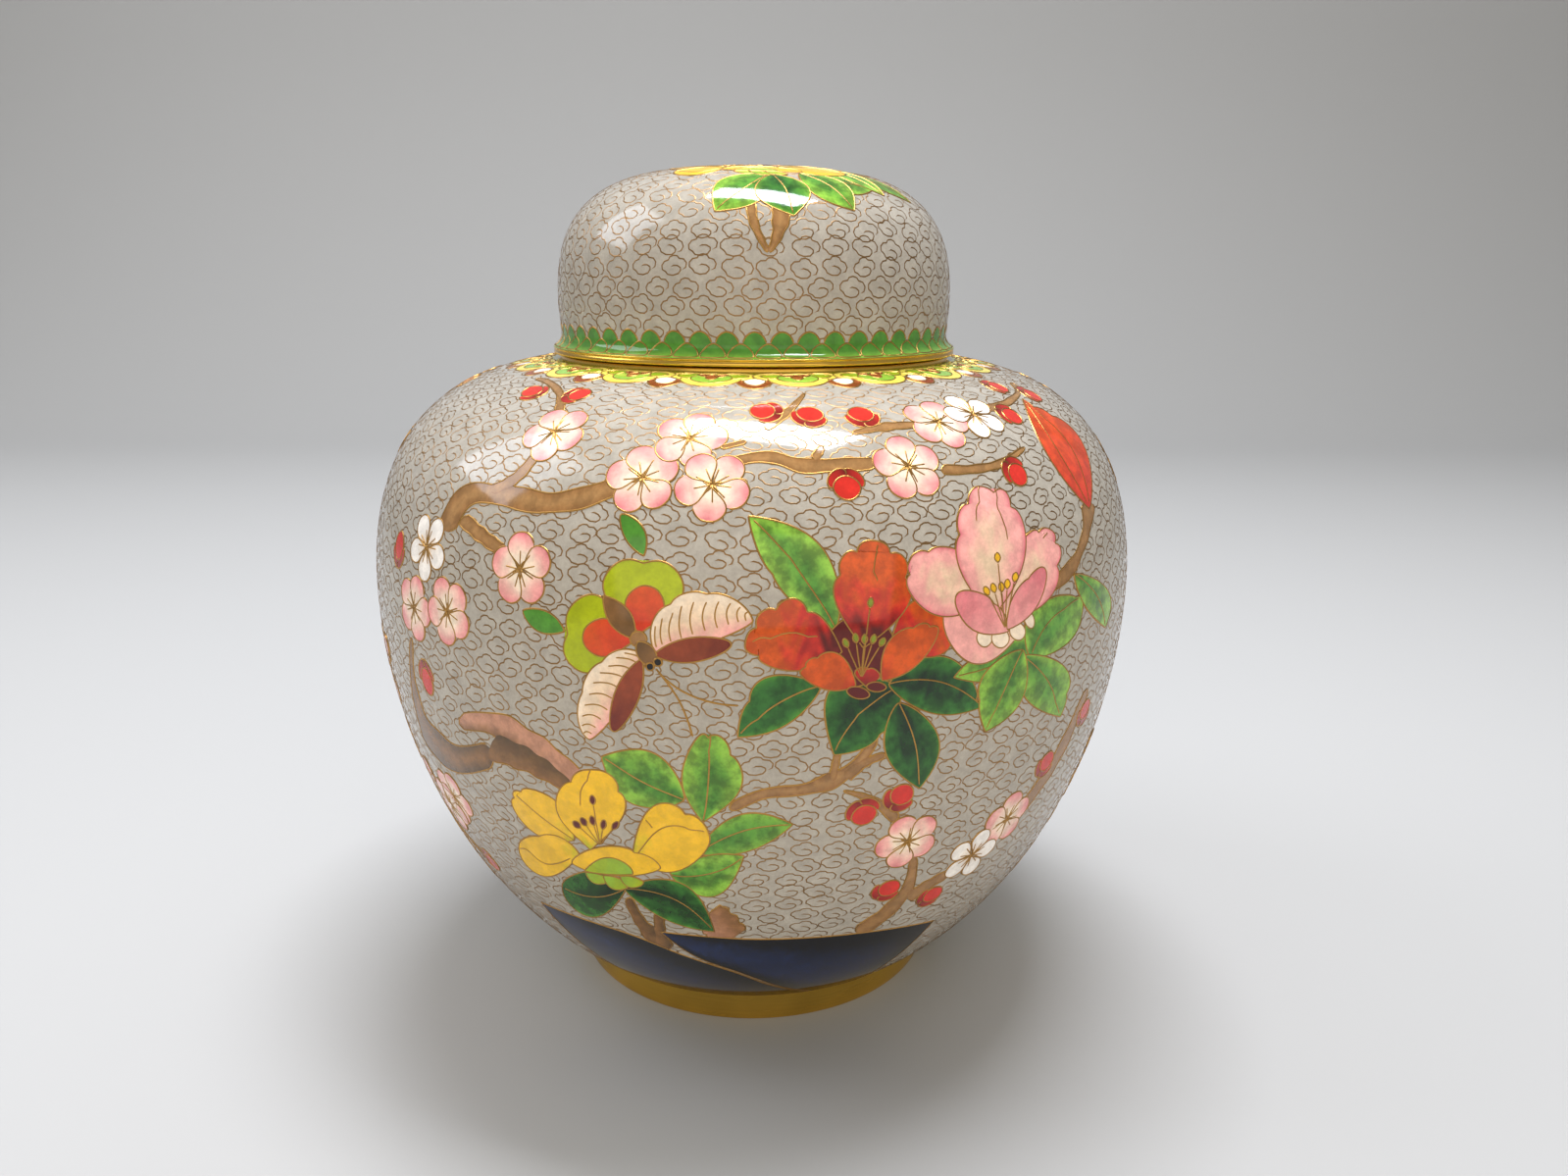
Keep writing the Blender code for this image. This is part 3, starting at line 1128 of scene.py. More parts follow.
@dataclass(frozen=True)
class Figure:
    """One figure of the picture, in the drawing's own units: branches, beds, blades and free wires.

    A branch is a route with its half widths and hues. A bed is a left and a right route with its hues.
    """

    blades: tuple[Blade, ...] = ()
    routes: tuple[Route, ...] = ()
    branches: tuple[tuple[Route, tuple[float, ...], tuple[Enamel, ...]], ...] = ()
    beds: tuple[tuple[Route, Route, tuple[Enamel, ...]], ...] = ()

    def draw(self, decoration: Decoration, canvas: Canvas) -> None:
        """Lay the figure, branches first and free wires last."""
        for route, widths, hues in self.branches:
            decoration.branch(canvas, route, widths, hues)
        for left, right, hues in self.beds:
            decoration.bed(canvas, left, right, hues)
        for blade in self.blades:
            decoration.fill(canvas, blade)
        for route in self.routes:
            decoration.draw(canvas, route)


def stamens(foot: Point, heads: Sequence[Point], size: float, hues: tuple[Enamel, ...]) -> Figure:
    """Stamens that fan out from one foot, each with a small pointed head that leans the same way."""
    blades, routes = [], []
    for head in heads:
        way = unit(np.array(head) - np.array(foot))
        near, far = np.array(head) - size * way, np.array(head) + size * way
        blades.append(Blade(tuple(near), tuple(far), 0.6 * size, 0.6 * size, hues, ends=(0.9, 0.5)))
        routes.append((foot, tuple((np.array(foot) + near) / 2 + 0.06 * np.array([way[1], -way[0]]) * size),
                       tuple(near)))
    return Figure(tuple(blades), tuple(routes))


def plum_blossom(radius: float, turn: float, hues: tuple[Enamel, ...], petal: float, wires: int) -> Figure:
    """Draw five round petals about the origin, and the wires of the stamens.

    Args:
        radius: How far the petals reach.
        turn: The first petal's direction.
        hues: The petals' enamels, from the middle out.
        petal: Half a petal's width, as a share of the radius.
        wires: How many stamens.

    Returns:
        The blossom.
    """
    blades, routes = [], []
    for angle in turn + 2 * np.pi * np.arange(5) / 5:
        way = np.array([np.cos(angle), np.sin(angle)])
        blades.append(Blade(tuple(0.06 * radius * way), tuple(radius * way), petal * radius, petal * radius,
                            hues, skew=1.4, ends=(0.9, 0.42)))
    for angle in turn + 0.3 + 2 * np.pi * np.arange(wires) / wires:
        way = np.array([np.cos(angle), np.sin(angle)])
        routes.append(((0.0, 0.0), tuple(0.28 * radius * way), tuple(0.55 * radius * way)))
    return Figure(tuple(blades), tuple(routes))


def red_bud(length: float, width: float) -> Figure:
    """A round bud that points up the drawing, over two round sepals that show at its foot."""
    w = width / 2
    sepals = [Blade((0.0, 0.6 * length), (side * 1.25 * w, -0.02 * length), 0.55 * w, 0.55 * w,
                    (E.MAROON, E.SCARLET), ends=(0.5, 0.5)) for side in (-1.0, 1.0)]
    return Figure((*sepals, Blade((0.0, 0.36 * length), (0.0, -0.5 * length), w, w, (E.SCARLET, E.SCARLET),
                                  ends=(0.5, 0.5))))


def wing_bars(near: float, far: float) -> tuple[Route, ...]:
    """The bars of a wing: ten bent wires along it, from near the body's side to far out across it."""
    return tuple(((s, near), (s + 0.01, (near + far) / 2), (s + 0.07, far))
                 for s in np.linspace(0.12, 0.84, 10))


BUTTERFLY = Figure((
    Blade((652, 648), (656, 568), 40, 42, LIME_WING, skew=1.5, ends=(0.9, 0.36), notches=(0.0,)),
    Blade((648, 652), (573, 645), 38, 42, LIME_WING, skew=1.5, ends=(0.9, 0.36), notches=(0.0,)),
    Blade((651, 648), (661, 597), 20, 20, (E.SCARLET, E.ORANGE), skew=1.4, ends=(0.9, 0.45)),
    Blade((648, 653), (594, 648), 19, 20, (E.SCARLET, E.ORANGE), skew=1.4, ends=(0.9, 0.45)),
    Blade((648, 652), (615, 607), 11, 12, (E.UMBER, E.BARK), ends=(1.0, 0.8)),
    Blade((666, 662), (767, 632), 47, 9, PALE_WING, Flow.ACROSS, skew=0.85, ends=(0.45, 0.5),
          notches=(-0.66, -0.4), depth=0.09, veins=wing_bars(0.8, 0.16)),
    Blade((656, 668), (600, 753), 10, 38, PALE_WING[::-1], Flow.ACROSS, skew=0.85, ends=(0.45, 0.5),
          notches=(0.66, 0.4), depth=0.09, veins=wing_bars(0.2, 0.84)),
    Blade((666, 667), (745, 656), 12, 13, (E.RUSSET, E.RUSSET, E.MAROON)),
    Blade((654, 671), (625, 745), 12, 13, (E.RUSSET, E.RUSSET, E.MAROON)),
    Blade((642, 651), (659, 651), 8, 8, (E.BARK, E.SAND), ends=(0.5, 0.5)),
    Blade((650, 654), (668, 678), 9, 9, (E.UMBER, E.BARK), ends=(0.6, 0.6)),
    Blade((659, 677), (666, 681), 4, 4, (E.BLACK,), ends=(0.5, 0.5)),
    Blade((667, 672), (674, 677), 4, 4, (E.BLACK,), ends=(0.5, 0.5)),
), (
    ((668, 681), (676, 690), (690, 701), (710, 711), (732, 717), (753, 719)),
    ((668, 681), (680, 696), (692, 714), (701, 735), (706, 751)),
))

FLAME_FLOWER = Figure((
    Leaf((851, 641), (763, 526), 20, 40, LIGHT_LEAF, notches=(-0.45,)),
    Blade((868, 700), (885, 625), 36, 38, (E.MAROON, E.MAROON)),
    Blade((905, 665), (972, 613), 26, 36, FLAME, skew=1.3, ends=(0.8, 0.42), notches=(-0.2, 0.1, 0.34),
          depth=0.2, pooling=0.6, veins=(((0.6, 0.3), (0.85, 0.4), (0.97, 0.6)),)),
    Blade((880, 660), (893, 549), 40, 44, FLAME, skew=1.35, ends=(0.7, 0.4),
          notches=(-0.4, -0.16, 0.12, 0.36), depth=0.2, pooling=0.6,
          veins=(((0.55, 0.55), (0.8, 0.5), (0.95, 0.6)),)),
    Blade((858, 664), (758, 655), 24, 52, FLAME, skew=1.1, ends=(0.8, 0.42), notches=(-0.2, 0.12, 0.34, 0.6),
          depth=0.2, pooling=0.6, veins=(((0.3, 0.6), (0.6, 0.5), (0.9, 0.4)),)),
    Blade((872, 698), (815, 683), 12, 27, FLAME[2:], notches=(0.08, 0.3), pooling=0.6),
    Blade((899, 693), (955, 637), 24, 14, FLAME[2:], notches=(-0.3, -0.08), pooling=0.6),
    Blade((882, 699), (885, 679), 13, 13, (E.MAROON, E.SCARLET), skew=1.4, notches=(0.0,), depth=0.3),
    Blade((863, 703), (886, 708), 6, 6, (E.MAROON,), ends=(0.5, 0.5)),
    Blade((883, 699), (903, 700), 5, 5, (E.MAROON,), ends=(0.5, 0.5)),
))
FLAME_STAMENS = stamens((878, 690), ((862, 655), (872, 650), (887, 614), (881, 651), (890, 651), (899, 654)),
                        5, (E.OLIVE,))
DARK_LEAVES = Figure((
    Leaf((836, 700), (752, 751), 15, 38, DARK_LEAF[1:], notches=(0.35,)),
    Leaf((918, 700), (850, 769), 22, 50, DARK_LEAF, notches=(-0.5,)),
    Leaf((906, 697), (1003, 719), 40, 19, DARK_LEAF, notches=(-0.12,)),
    Leaf((916, 716), (937, 803), 31, 25, DARK_LEAF),
))
YELLOW_LEAVES = Figure((
    Leaf((697, 815), (613, 771), 28, 28, LIGHT_LEAF),
    Leaf((716, 838), (722, 745), 24, 38, LIGHT_LEAF, ends=(1.0, 0.5), notches=(0.0, 0.3)),
    Leaf((712, 869), (808, 840), 25, 13, MID_LEAF[1:]),
    Leaf((683, 890), (758, 872), 9, 33, LIGHT_LEAF),
))
LOW_LEAVES = Figure((
    Leaf((638, 905), (573, 902), 31, 16, DARK_LEAF, ends=(0.8, 0.5)),
    Leaf((637, 906), (728, 949), 30, 10, DARK_LEAF),
))
YELLOW_FLOWER = Figure((
    Blade((585, 856), (521, 806), 19, 20, GOLDEN, notches=(-0.08, 0.12), veins=(MIDRIB,)),
    Blade((590, 870), (529, 860), 28, 15, GOLDEN, notches=(0.35,),
          veins=(((0.2, 0.4), (0.5, 0.3), (0.8, 0.5), (0.9, 0.3)),)),
    Blade((645, 873), (723, 851), 45, 26, GOLDEN, notches=(-0.28,),
          veins=(((0.1, 0.6), (0.45, 0.35), (0.9, 0.45)), ((0.35, 0.05), (0.4, 0.3)))),
    Blade((602, 866), (601, 784), 35, 37, GOLDEN, skew=1.3, ends=(0.8, 0.4), notches=(-0.2, 0.33),
          veins=(((0.5, 0.35), (0.8, 0.4), (0.98, 0.55)),)),
    Blade((583, 878), (673, 884), 19, 11, (E.SUN, E.SUN), ends=(0.6, 0.6), notches=(-0.35,)),
    Blade((596, 887), (645, 890), 15, 2, (E.LIME, E.SPRING)),
    Blade((597, 889), (622, 896), 2, 8, (E.SPRING, E.LIME)),
    Blade((615, 892), (641, 902), 3, 9, (E.SPRING, E.LIME)),
    Blade((632, 893), (656, 899), 3, 8, (E.SPRING, E.LIME)),
))
YELLOW_STAMENS = stamens((612, 861), ((604, 815), (588, 840), (595, 837), (604, 836), (615, 840),
                                      (627, 841)), 5, (E.MAROON,))
MAGNOLIA_FLOWER = Figure((
    Leaf((1070, 650), (972, 690), 22, 18, LIGHT_LEAF, notches=(0.3,)),
    Leaf((1050, 670), (1103, 606), 32, 20, LIGHT_LEAF, notches=(-0.35, -0.12), depth=0.1),
    Leaf((1042, 668), (1080, 730), 31, 20, LIGHT_LEAF, notches=(-0.3,), depth=0.1),
    Leaf((1042, 662), (1004, 745), 20, 26, LIGHT_LEAF, notches=(0.35,), depth=0.1),
    Leaf((1095, 585), (1126, 639), 21, 7, LIGHT_LEAF),
    Blade((1042, 640), (962, 622), 46, 4, MAGNOLIA[:3]),
    Blade((1003, 640), (1003, 659), 8, 8, (E.IVORY,), ends=(0.5, 0.5)),
    Blade((1018, 640), (1020, 660), 9, 9, (E.IVORY,), ends=(0.5, 0.5)),
    Blade((1034, 634), (1039, 652), 8, 8, (E.IVORY,), ends=(0.5, 0.5)),
    Blade((1046, 622), (1051, 640), 5, 5, (E.IVORY,), ends=(0.5, 0.5)),
    Blade((1003, 612), (925, 572), 36, 34, MAGNOLIA, Flow.MARGIN, ends=(0.7, 0.4), notches=(-0.1, 0.22)),
    Blade((1024, 630), (1068, 536), 22, 34, MAGNOLIA, Flow.MARGIN, ends=(0.7, 0.4),
          notches=(-0.1, 0.15, 0.36), depth=0.18, veins=(((0.75, 0.4), (0.95, 0.5)),)),
    Blade((1012, 625), (1005, 491), 37, 37, MAGNOLIA, Flow.MARGIN, skew=1.2, ends=(0.65, 0.38),
          notches=(-0.42, -0.2, 0.04, 0.25), depth=0.18,
          veins=(((0.6, 0.3), (0.85, 0.25), (0.95, 0.1)), ((0.5, 0.75), (0.75, 0.7), (0.93, 0.8)))),
    Blade((1027, 643), (975, 605), 20, 17, MAGNOLIA[2:], notches=(0.55,)),
    Blade((1026, 641), (1063, 578), 12, 14, MAGNOLIA[2:], notches=(-0.3,)),
))
MAGNOLIA_STAMENS = stamens((1024, 640), ((1016, 568), (1005, 602), (1012, 599), (1020, 598), (1026, 595),
                                         (1034, 588)), 5, (E.AMBER, E.SUN))
LARGE_BUD = Figure((
    Blade((1110, 518), (1042, 406), 8, 29, (E.SCARLET, E.ORANGE), ends=(0.8, 0.95), notches=(0.16, 0.3),
          depth=0.1, pooling=0.6,
          veins=(((0.12, 0.35), (0.5, 0.3), (0.92, 0.4)), ((0.1, 0.65), (0.5, 0.66), (0.82, 0.6)))),
), branches=(
    (((1109, 512), (1108, 535), (1099, 565), (1086, 585), (1062, 604)), (7, 3.5, 3.5, 7, 3), BRANCH),
))
BRANCHES = Figure(branches=(
    (((454, 541), (480, 503), (513, 505), (556, 512), (645, 488)), (9, 10, 11, 10, 8), BRANCH),
    (((500, 500), (524, 488), (545, 465)), (5, 5, 4), BRANCH),
    (((471, 528), (490, 545), (513, 562)), (7, 7, 6), BRANCH),
    (((569, 420), (571, 402), (560, 390), (546, 386)), (5, 4, 3, 1), BRANCH),
    (((735, 474), (787, 466), (815, 474), (852, 474), (893, 472)), (5, 5, 7, 7, 6), BRANCH),
    (((735, 456), (760, 450)), (2, 2), BRANCH),
    (((830, 468), (838, 455)), (5, 3), BRANCH),
    (((960, 478), (990, 478), (1020, 472), (1044, 456)), (5, 4, 4, 2), BRANCH),
    (((780, 436), (802, 420), (820, 401)), (4, 4, 1), BRANCH),
    (((869, 441), (900, 435), (933, 433)), (2, 4, 3), BRANCH),
    (((1005, 416), (1025, 411), (1038, 398), (1030, 390)), (4, 4, 3, 1), BRANCH),
    (((744, 824), (775, 810), (825, 803), (858, 790), (885, 764), (893, 750)), (5, 5, 5, 8, 5, 4), BRANCH),
    (((848, 795), (855, 762)), (4, 3), BRANCH),
    (((862, 792), (882, 777), (902, 769)), (6, 4, 3), BRANCH),
    (((860, 806), (888, 815), (914, 835)), (1, 4, 6), BRANCH),
    (((873, 950), (905, 928), (925, 905), (931, 872)), (6, 6, 5, 4), BRANCH),
    (((925, 915), (948, 900), (975, 885)), (5, 4, 3), BRANCH),
    (((1040, 826), (1075, 775), (1108, 702)), (4, 4, 2), BRANCH),
    (((419, 650), (422, 700), (438, 747), (466, 773), (502, 768)), (1.5, 2, 5, 13, 14),
     (E.UMBER, E.BARK, E.UMBER)),
    (((468, 735), (505, 738), (545, 762), (590, 800)), (8, 12, 13, 12), (E.CLAY, E.CLAY, E.BARK)),
    (((500, 760), (540, 776), (580, 802)), (14, 11, 6), (E.UMBER, E.BARK)),
    (((640, 915), (652, 938), (672, 960)), (4, 5, 9), (E.UMBER, E.BARK)),
    (((672, 930), (673, 950), (680, 968)), (5, 5, 8), (E.UMBER, E.BARK)),
    (((722, 932), (735, 945), (742, 958)), (15, 18, 22), (E.BARK, E.CLAY)),
))
SMALL_LEAVES = Figure((
    Leaf((633, 524), (656, 566), 13, 8, (E.MOSS,), ends=(0.6, 0.8), veins=(), pooling=0.5),
    Leaf((575, 643), (533, 622), 12, 10, (E.MOSS,), ends=(0.8, 0.7), veins=(), pooling=0.5),
))
# The rocks' hues put a painted sheen, lighter blue, in the middle of each rock.
ROCKS = Figure(beds=(
    (((-39, 149), (-30, 149), (-21, 150.5), (-12, 157), (-4, 164), (4, 175), (14, 187)),
     ((-39, 149), (-37, 165), (-33, 187.3), (-33, 187.3), (14, 187.3)), STONE_WITH_PAINTED_SHEEN),
    (((-15, 147), (-8, 147), (-1, 147.5), (8, 148), (20, 149.5), (32.7, 153)),
     ((-15, 147), (-10, 156.8), (-3, 164), (5, 175), (15, 187), (15, 187), (28, 187.3), (28, 187.3),
      (32.7, 153)), STONE_WITH_PAINTED_SHEEN),
))
FLAME_GROUP = (DARK_LEAVES, FLAME_FLOWER, FLAME_STAMENS)
MAGNOLIA_GROUP = (MAGNOLIA_FLOWER, MAGNOLIA_STAMENS)
YELLOW_GROUP = (YELLOW_LEAVES, LOW_LEAVES, YELLOW_FLOWER, YELLOW_STAMENS)
PICTURE = (LARGE_BUD, SMALL_LEAVES, *FLAME_GROUP, *MAGNOLIA_GROUP, *YELLOW_GROUP, BUTTERFLY)
LID_STEMS = Figure(branches=(
    (((765, 204), (768, 225), (775, 242), (783, 256)), (5, 4.5, 3, 2), BRANCH),
    (((797, 204), (796, 222), (792, 240), (784, 256)), (10, 9, 5, 2), BRANCH),
))
CROWN_LEAVES = Figure((
    Leaf((3.0, 33.0), (-9.0, 46.0), 6.0, 6.0, LIGHT_LEAF),
    Leaf((10.0, 30.0), (23.0, 40.0), 5.5, 5.5, LIGHT_LEAF),
    Leaf((4.0, 33.0), (9.0, 47.0), 6.0, 6.5, MID_LEAF),
    Leaf((16.0, 20.0), (30.0, 28.0), 3.5, 4.5, LIGHT_LEAF),
))
SPRAY = Figure(branches=(
    (((-36, 12), (-14, 3), (8, 5), (34, -5)), (1.8, 1.6, 1.2, 0.5), BRANCH),
    (((-16, 4), (-21, -6), (-19, -17)), (1.2, 0.9, 0.4), BRANCH),
    (((6, 5), (13, -6), (23, -12)), (1.1, 0.9, 0.4), BRANCH),
    (((14, 4), (22, 12), (31, 14)), (1.0, 0.7, 0.3), BRANCH),
))
SPRAY_BLOSSOMS = ((-21, -9), (-3, 2), (20, -11), (25, 13), (-34, 14))
SPRAY_BUDS = ((-19, -19, 0.0), (35, -6, 1.3), (-28, 2, -0.5), (9, -8, -0.6), (34, 17, 1.9), (-10, -12, 0.5))
LOBED_HEAD = Figure((
    Blade((-0.6, 4.6), (-9.2, 5.2), 3.2, 2.9, (E.LEMON,), ends=(0.5, 0.45)),
    Blade((0.6, 4.6), (9.2, 5.2), 2.9, 3.2, (E.LEMON,), ends=(0.5, 0.45)),
    Blade((0.0, 2.4), (0.0, 12.3), 6.6, 6.6, (E.LEMON,), ends=(0.5, 0.42), notches=(-0.62, 0.62)),
    Blade((-1.6, 4.9), (-7.6, 5.0), 2.0, 1.8, (E.SPRING, E.LIME), ends=(0.7, 0.5)),
    Blade((1.6, 4.9), (7.6, 5.0), 1.8, 2.0, (E.SPRING, E.LIME), ends=(0.7, 0.5)),
    Blade((0.0, 3.4), (0.0, 10.3), 4.4, 4.4, (E.SPRING,), ends=(0.6, 0.45)),
    Blade((0.0, 5.4), (-3.2, 4.0), 0.9, 0.9, (E.RUSSET,)),
    Blade((0.0, 5.4), (3.2, 4.0), 0.9, 0.9, (E.RUSSET,)),
    Blade((0.0, 4.2), (0.0, 8.0), 1.3, 1.3, (E.RUSSET,)),
))
HALF_MOON = Figure((
    Blade((-3.7, 9.3), (3.7, 9.3), 1.5, 4.2, (E.RUSSET,), ends=(0.55, 0.55)),
    Blade((-2.3, 8.8), (2.3, 8.8), 1.6, 2.7, (E.WHITE,), ends=(0.5, 0.5)),
))
PINK_BLOSSOM_PIXELS = ((565, 440), (654, 487), (703, 446), (726, 494), (530, 580), (422, 619), (456, 623),
                       (926, 475), (956, 430), (925, 857), (1026, 834), (463, 811))
WHITE_BLOSSOM_PIXELS = ((435, 557), (992, 422), (990, 871))
BUD_PIXELS = ((589, 402, 1.2), (779, 419, -1.3), (825, 423, 0.4), (878, 423, 0.0), (863, 495, 3.14),
              (1016, 394, 2.0), (1051, 402, 2.2), (1030, 423, 2.4), (1036, 482, 2.6), (905, 906, 0.6),
              (949, 912, 0.9), (1066, 777, 0.5), (1105, 724, 0.3), (880, 829, 2.8), (918, 811, 0.6))
LONG_BUD_PIXELS = ((543, 399, -1.2), (407, 558, 0.0), (435, 692, 3.0))
SPRAYS = ((104, 48, 0.35, PINK_PETAL), (150, 42, -0.25, WHITE_PETAL), (208, 46, 0.2, PINK_PETAL),
          (255, 42, -0.4, PINK_PETAL), (82, 124, -0.5, PINK_PETAL), (216, 136, 0.3, WHITE_PETAL),
          (292, 118, 0.9, PINK_PETAL))
BACK_FIGURES = ((FLAME_GROUP, (875.0, 670.0), 180.0, 88.0, 0.0),
                (YELLOW_GROUP, (640.0, 850.0), 134.0, 108.0, 0.15),
                (MAGNOLIA_GROUP, (1020.0, 610.0), 252.0, 92.0, -0.2),
                ((BUTTERFLY,), (665.0, 660.0), 216.0, 96.0, 0.3))


@dataclass
class JarPicture:
    """The picture on the jar: flowers and a butterfly in front, plainer sprays behind, a collar above."""

    skin: TurnedSkin
    view: PhotoView
    blossom_mm: float = 7.3
    bud_mm: Point = (5.8, 5.4)
    long_bud_mm: Point = (7.4, 4.8)
    photo_mm: float = 0.175
    collar_count: int = 19
    collar_turn: float = np.radians(-9.5)

    def blossom(self, hues: tuple[Enamel, ...], turn: float) -> Figure:
        """A plum blossom: white ones have narrower petals and more stamens."""
        petal, wires = (0.36, 10) if hues is WHITE_PETAL else (0.43, 9)
        return plum_blossom(self.blossom_mm, turn, hues, petal, wires)

    def anchored(self, pixel: Point, turn: float = 0.0) -> LocalCanvas:
        """A canvas in millimetres round the spot that a pixel shows."""
        spot = self.view.spots(self.skin, np.array([pixel], float))[0]
        return LocalCanvas(self.skin, (float(spot[0]), float(spot[1])), turn=turn)

    def front(self) -> Decoration:
        """Lay the side that the photograph shows."""
        front = Decoration("jar_picture", self.skin)
        photo = PhotoCanvas(self.view, self.skin)
        BRANCHES.draw(front, photo)
        ROCKS.draw(front, BandCanvas(self.skin))
        for figure in PICTURE:
            figure.draw(front, photo)
        for hues, pixels in ((PINK_PETAL, PINK_BLOSSOM_PIXELS), (WHITE_PETAL, WHITE_BLOSSOM_PIXELS)):
            for k, pixel in enumerate(pixels):
                self.blossom(hues, 0.3 + 1.7 * k).draw(front, self.anchored(pixel))
        for size, buds in ((self.bud_mm, BUD_PIXELS), (self.long_bud_mm, LONG_BUD_PIXELS)):
            for x, y, turn in buds:
                red_bud(*size).draw(front, self.anchored((x, y), turn))
        return front

    def spray(self, back: Decoration, canvas: LocalCanvas, hues: tuple[Enamel, ...]) -> None:
        """Lay a branch in bloom, with its blossoms and buds."""
        SPRAY.draw(back, canvas)
        for k, place in enumerate(SPRAY_BLOSSOMS):
            self.blossom(hues, 0.9 * k).draw(back, canvas.at(place))
        for x, y, turn in SPRAY_BUDS:
            red_bud(*self.bud_mm).draw(back, canvas.at((x, y), turn))

    def back(self) -> Decoration:
        """Lay the sides and the back: rocks, sprays of blossom, three flowers and a butterfly."""
        back = Decoration("jar_back_picture", self.skin)
        ROCKS.draw(back, BandCanvas(self.skin, turn=np.pi))
        for degrees, arc, turn, hues in SPRAYS:
            self.spray(back, LocalCanvas(self.skin, (np.radians(degrees), arc * MM), turn=turn), hues)
        for group, origin, degrees, arc, turn in BACK_FIGURES:
            canvas = LocalCanvas(self.skin, (np.radians(degrees), arc * MM), self.photo_mm, turn, origin, 2.6)
            for figure in group:
                figure.draw(back, canvas)
        return back

    def collar(self) -> Decoration:
        """Lay the collar of lobed heads under the lid, with half moons where they meet."""
        collar = Decoration("jar_collar", self.skin)
        collar.ring_fill(0.0, 6.0 * MM, (E.OLIVE, E.OLIVE), collar.first_lift / 2)
        turns = self.collar_turn + 2 * np.pi * np.arange(self.collar_count) / self.collar_count
        for turn in turns + np.pi / self.collar_count:
            HALF_MOON.draw(collar, LocalCanvas(self.skin, (turn, 0.0)))
        for turn in turns:
            LOBED_HEAD.draw(collar, LocalCanvas(self.skin, (turn, 0.0)))
        return collar

    def build(self, enamel: Material, wire: Material, fine: Material) -> None:
        """Make every figure, then the running scrolls on the ground that is left."""
        ground = Decoration("jar_ground", self.skin)
        for layer in (self.front(), self.back(), self.collar()):
            layer.build(enamel, wire)
            ground.laid.extend(layer.laid)
        end = float(self.skin.arc[-1])
        CloudGround(ground, "jar_cloud_wires", 12.0 * MM, end - 1.5 * MM, parts=4).build(fine)


@dataclass
class LidPicture:
    """The lid's decoration: flowers on its crown and two rows of green scales round its foot."""

    skin: TurnedSkin
    view: PhotoView
    scales: int = 51
    flower_mm: float = 0.2

    def crown(self, lid: Decoration) -> None:
        """Lay the stems that run down the front, then a flower over them and a spray behind it."""
        LID_STEMS.draw(lid, PhotoCanvas(self.view, self.skin))
        JarPicture(self.skin, self.view).spray(lid, LocalCanvas(self.skin, (np.pi, 34.0 * MM)), PINK_PETAL)
        flower = CrownCanvas(self.skin, (637.0, 905.0), (3.4, 33.2), self.flower_mm, step=2.4)
        YELLOW_LEAVES.draw(lid, flower)
        CROWN_LEAVES.draw(lid, CrownCanvas(self.skin))
        YELLOW_FLOWER.draw(lid, flower)
        YELLOW_STAMENS.draw(lid, flower)

    def foot(self, lid: Decoration) -> None:
        """Lay whole discs round the wall, then half discs that run out over the flare."""
        end = float(self.skin.arc[-1])
        lid.ring_fill(end - 2.6 * MM, end, (E.MOSS, E.SPRING), lid.first_lift / 2)
        disc = Figure((Blade((0.0, -1.2), (0.0, -6.5), 2.5, 2.5, (E.MOSS, E.MOSS), ends=(0.5, 0.5),
                             pooling=0.5),))
        half = Figure((Blade((0.0, -0.3), (0.0, -4.0), 2.8, 2.8, (E.SPRING, E.MOSS, E.MOSS), skew=0.45,
                             ends=(0.3, 0.55)),))
        for scale, offset in ((disc, 0.0), (half, 0.5)):
            for turn in 2 * np.pi * (np.arange(self.scales) + offset) / self.scales:
                scale.draw(lid, LocalCanvas(self.skin, (turn, end)))

    def build(self, enamel: Material, wire: Material, fine: Material) -> None:
        """Lay the crown, the foot and the scrolls between them."""
        lid = Decoration("lid_picture", self.skin)
        self.crown(lid)
        self.foot(lid)
        lid.build(enamel, wire)
        CloudGround(lid, "lid_cloud_wires", 5.0 * MM, float(self.skin.arc[-1]) - 7.5 * MM, pitch=7.2 * MM,
                    row=4.15 * MM, half=(3.2 * MM, 2.25 * MM), seed=11).build(fine)


# The turned pieces


@dataclass
class JarShell:
    """The jar itself: enamelled copper outside, blue counter enamel inside and below, a gilded neck."""

    sizes: Sizes
    ground: Array
    counter: Array
    gilt: Array

    def build(self, enamel: Material, gilt: Material) -> bpy.types.Object:
        """Make the shell, which stands for the jar's solid."""
        z = self.sizes
        outside = z.body_outline()
        way = unit(np.gradient(outside, axis=0))
        inside = (outside + z.wall * np.column_stack([way[:, 1], -way[:, 0]]))[::-4]
        floor = z.base[1] + z.wall
        inside = inside[(inside[:, 1] > floor) & (inside[:, 0] > z.neck_bore + z.wall)]
        neck = np.array([(z.neck_bore, z.shoulder[1] - z.wall), (z.neck_bore, z.neck_top - 0.0004),
                         (z.neck_bore + 0.0004, z.neck_top), (z.neck_radius - 0.0004, z.neck_top),
                         (z.neck_radius, z.neck_top - 0.0004), (z.neck_radius, z.seat_top + 0.0004),
                         (z.neck_radius + 0.0004, z.seat_top), (z.shoulder[0] - 0.0002, z.seat_top),
                         (z.shoulder[0], z.seat_top - 0.0002), z.shoulder])
        shell = Patchwork("enamelled_jar")
        inner = np.vstack([[(0.0, floor)], [(z.base[0] - z.wall, floor)], inside, neck[:1]])
        shell.add_turned(inner, INSIDE_COLUMNS, self.counter, point_rows=(0,))
        shell.add_turned(neck, INSIDE_COLUMNS, self.gilt, slot=1)
        shell.add_turned(outside, JAR_COLUMNS, self.ground)
        under = np.array([z.base, (z.foot_radius - z.foot_wall, z.base[1]), (0.0, z.base[1])])
        shell.add_turned(under, JAR_COLUMNS, self.counter, point_rows=(2,))
        piece = shell.build([enamel, gilt])
        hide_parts("jar_body")
        return piece


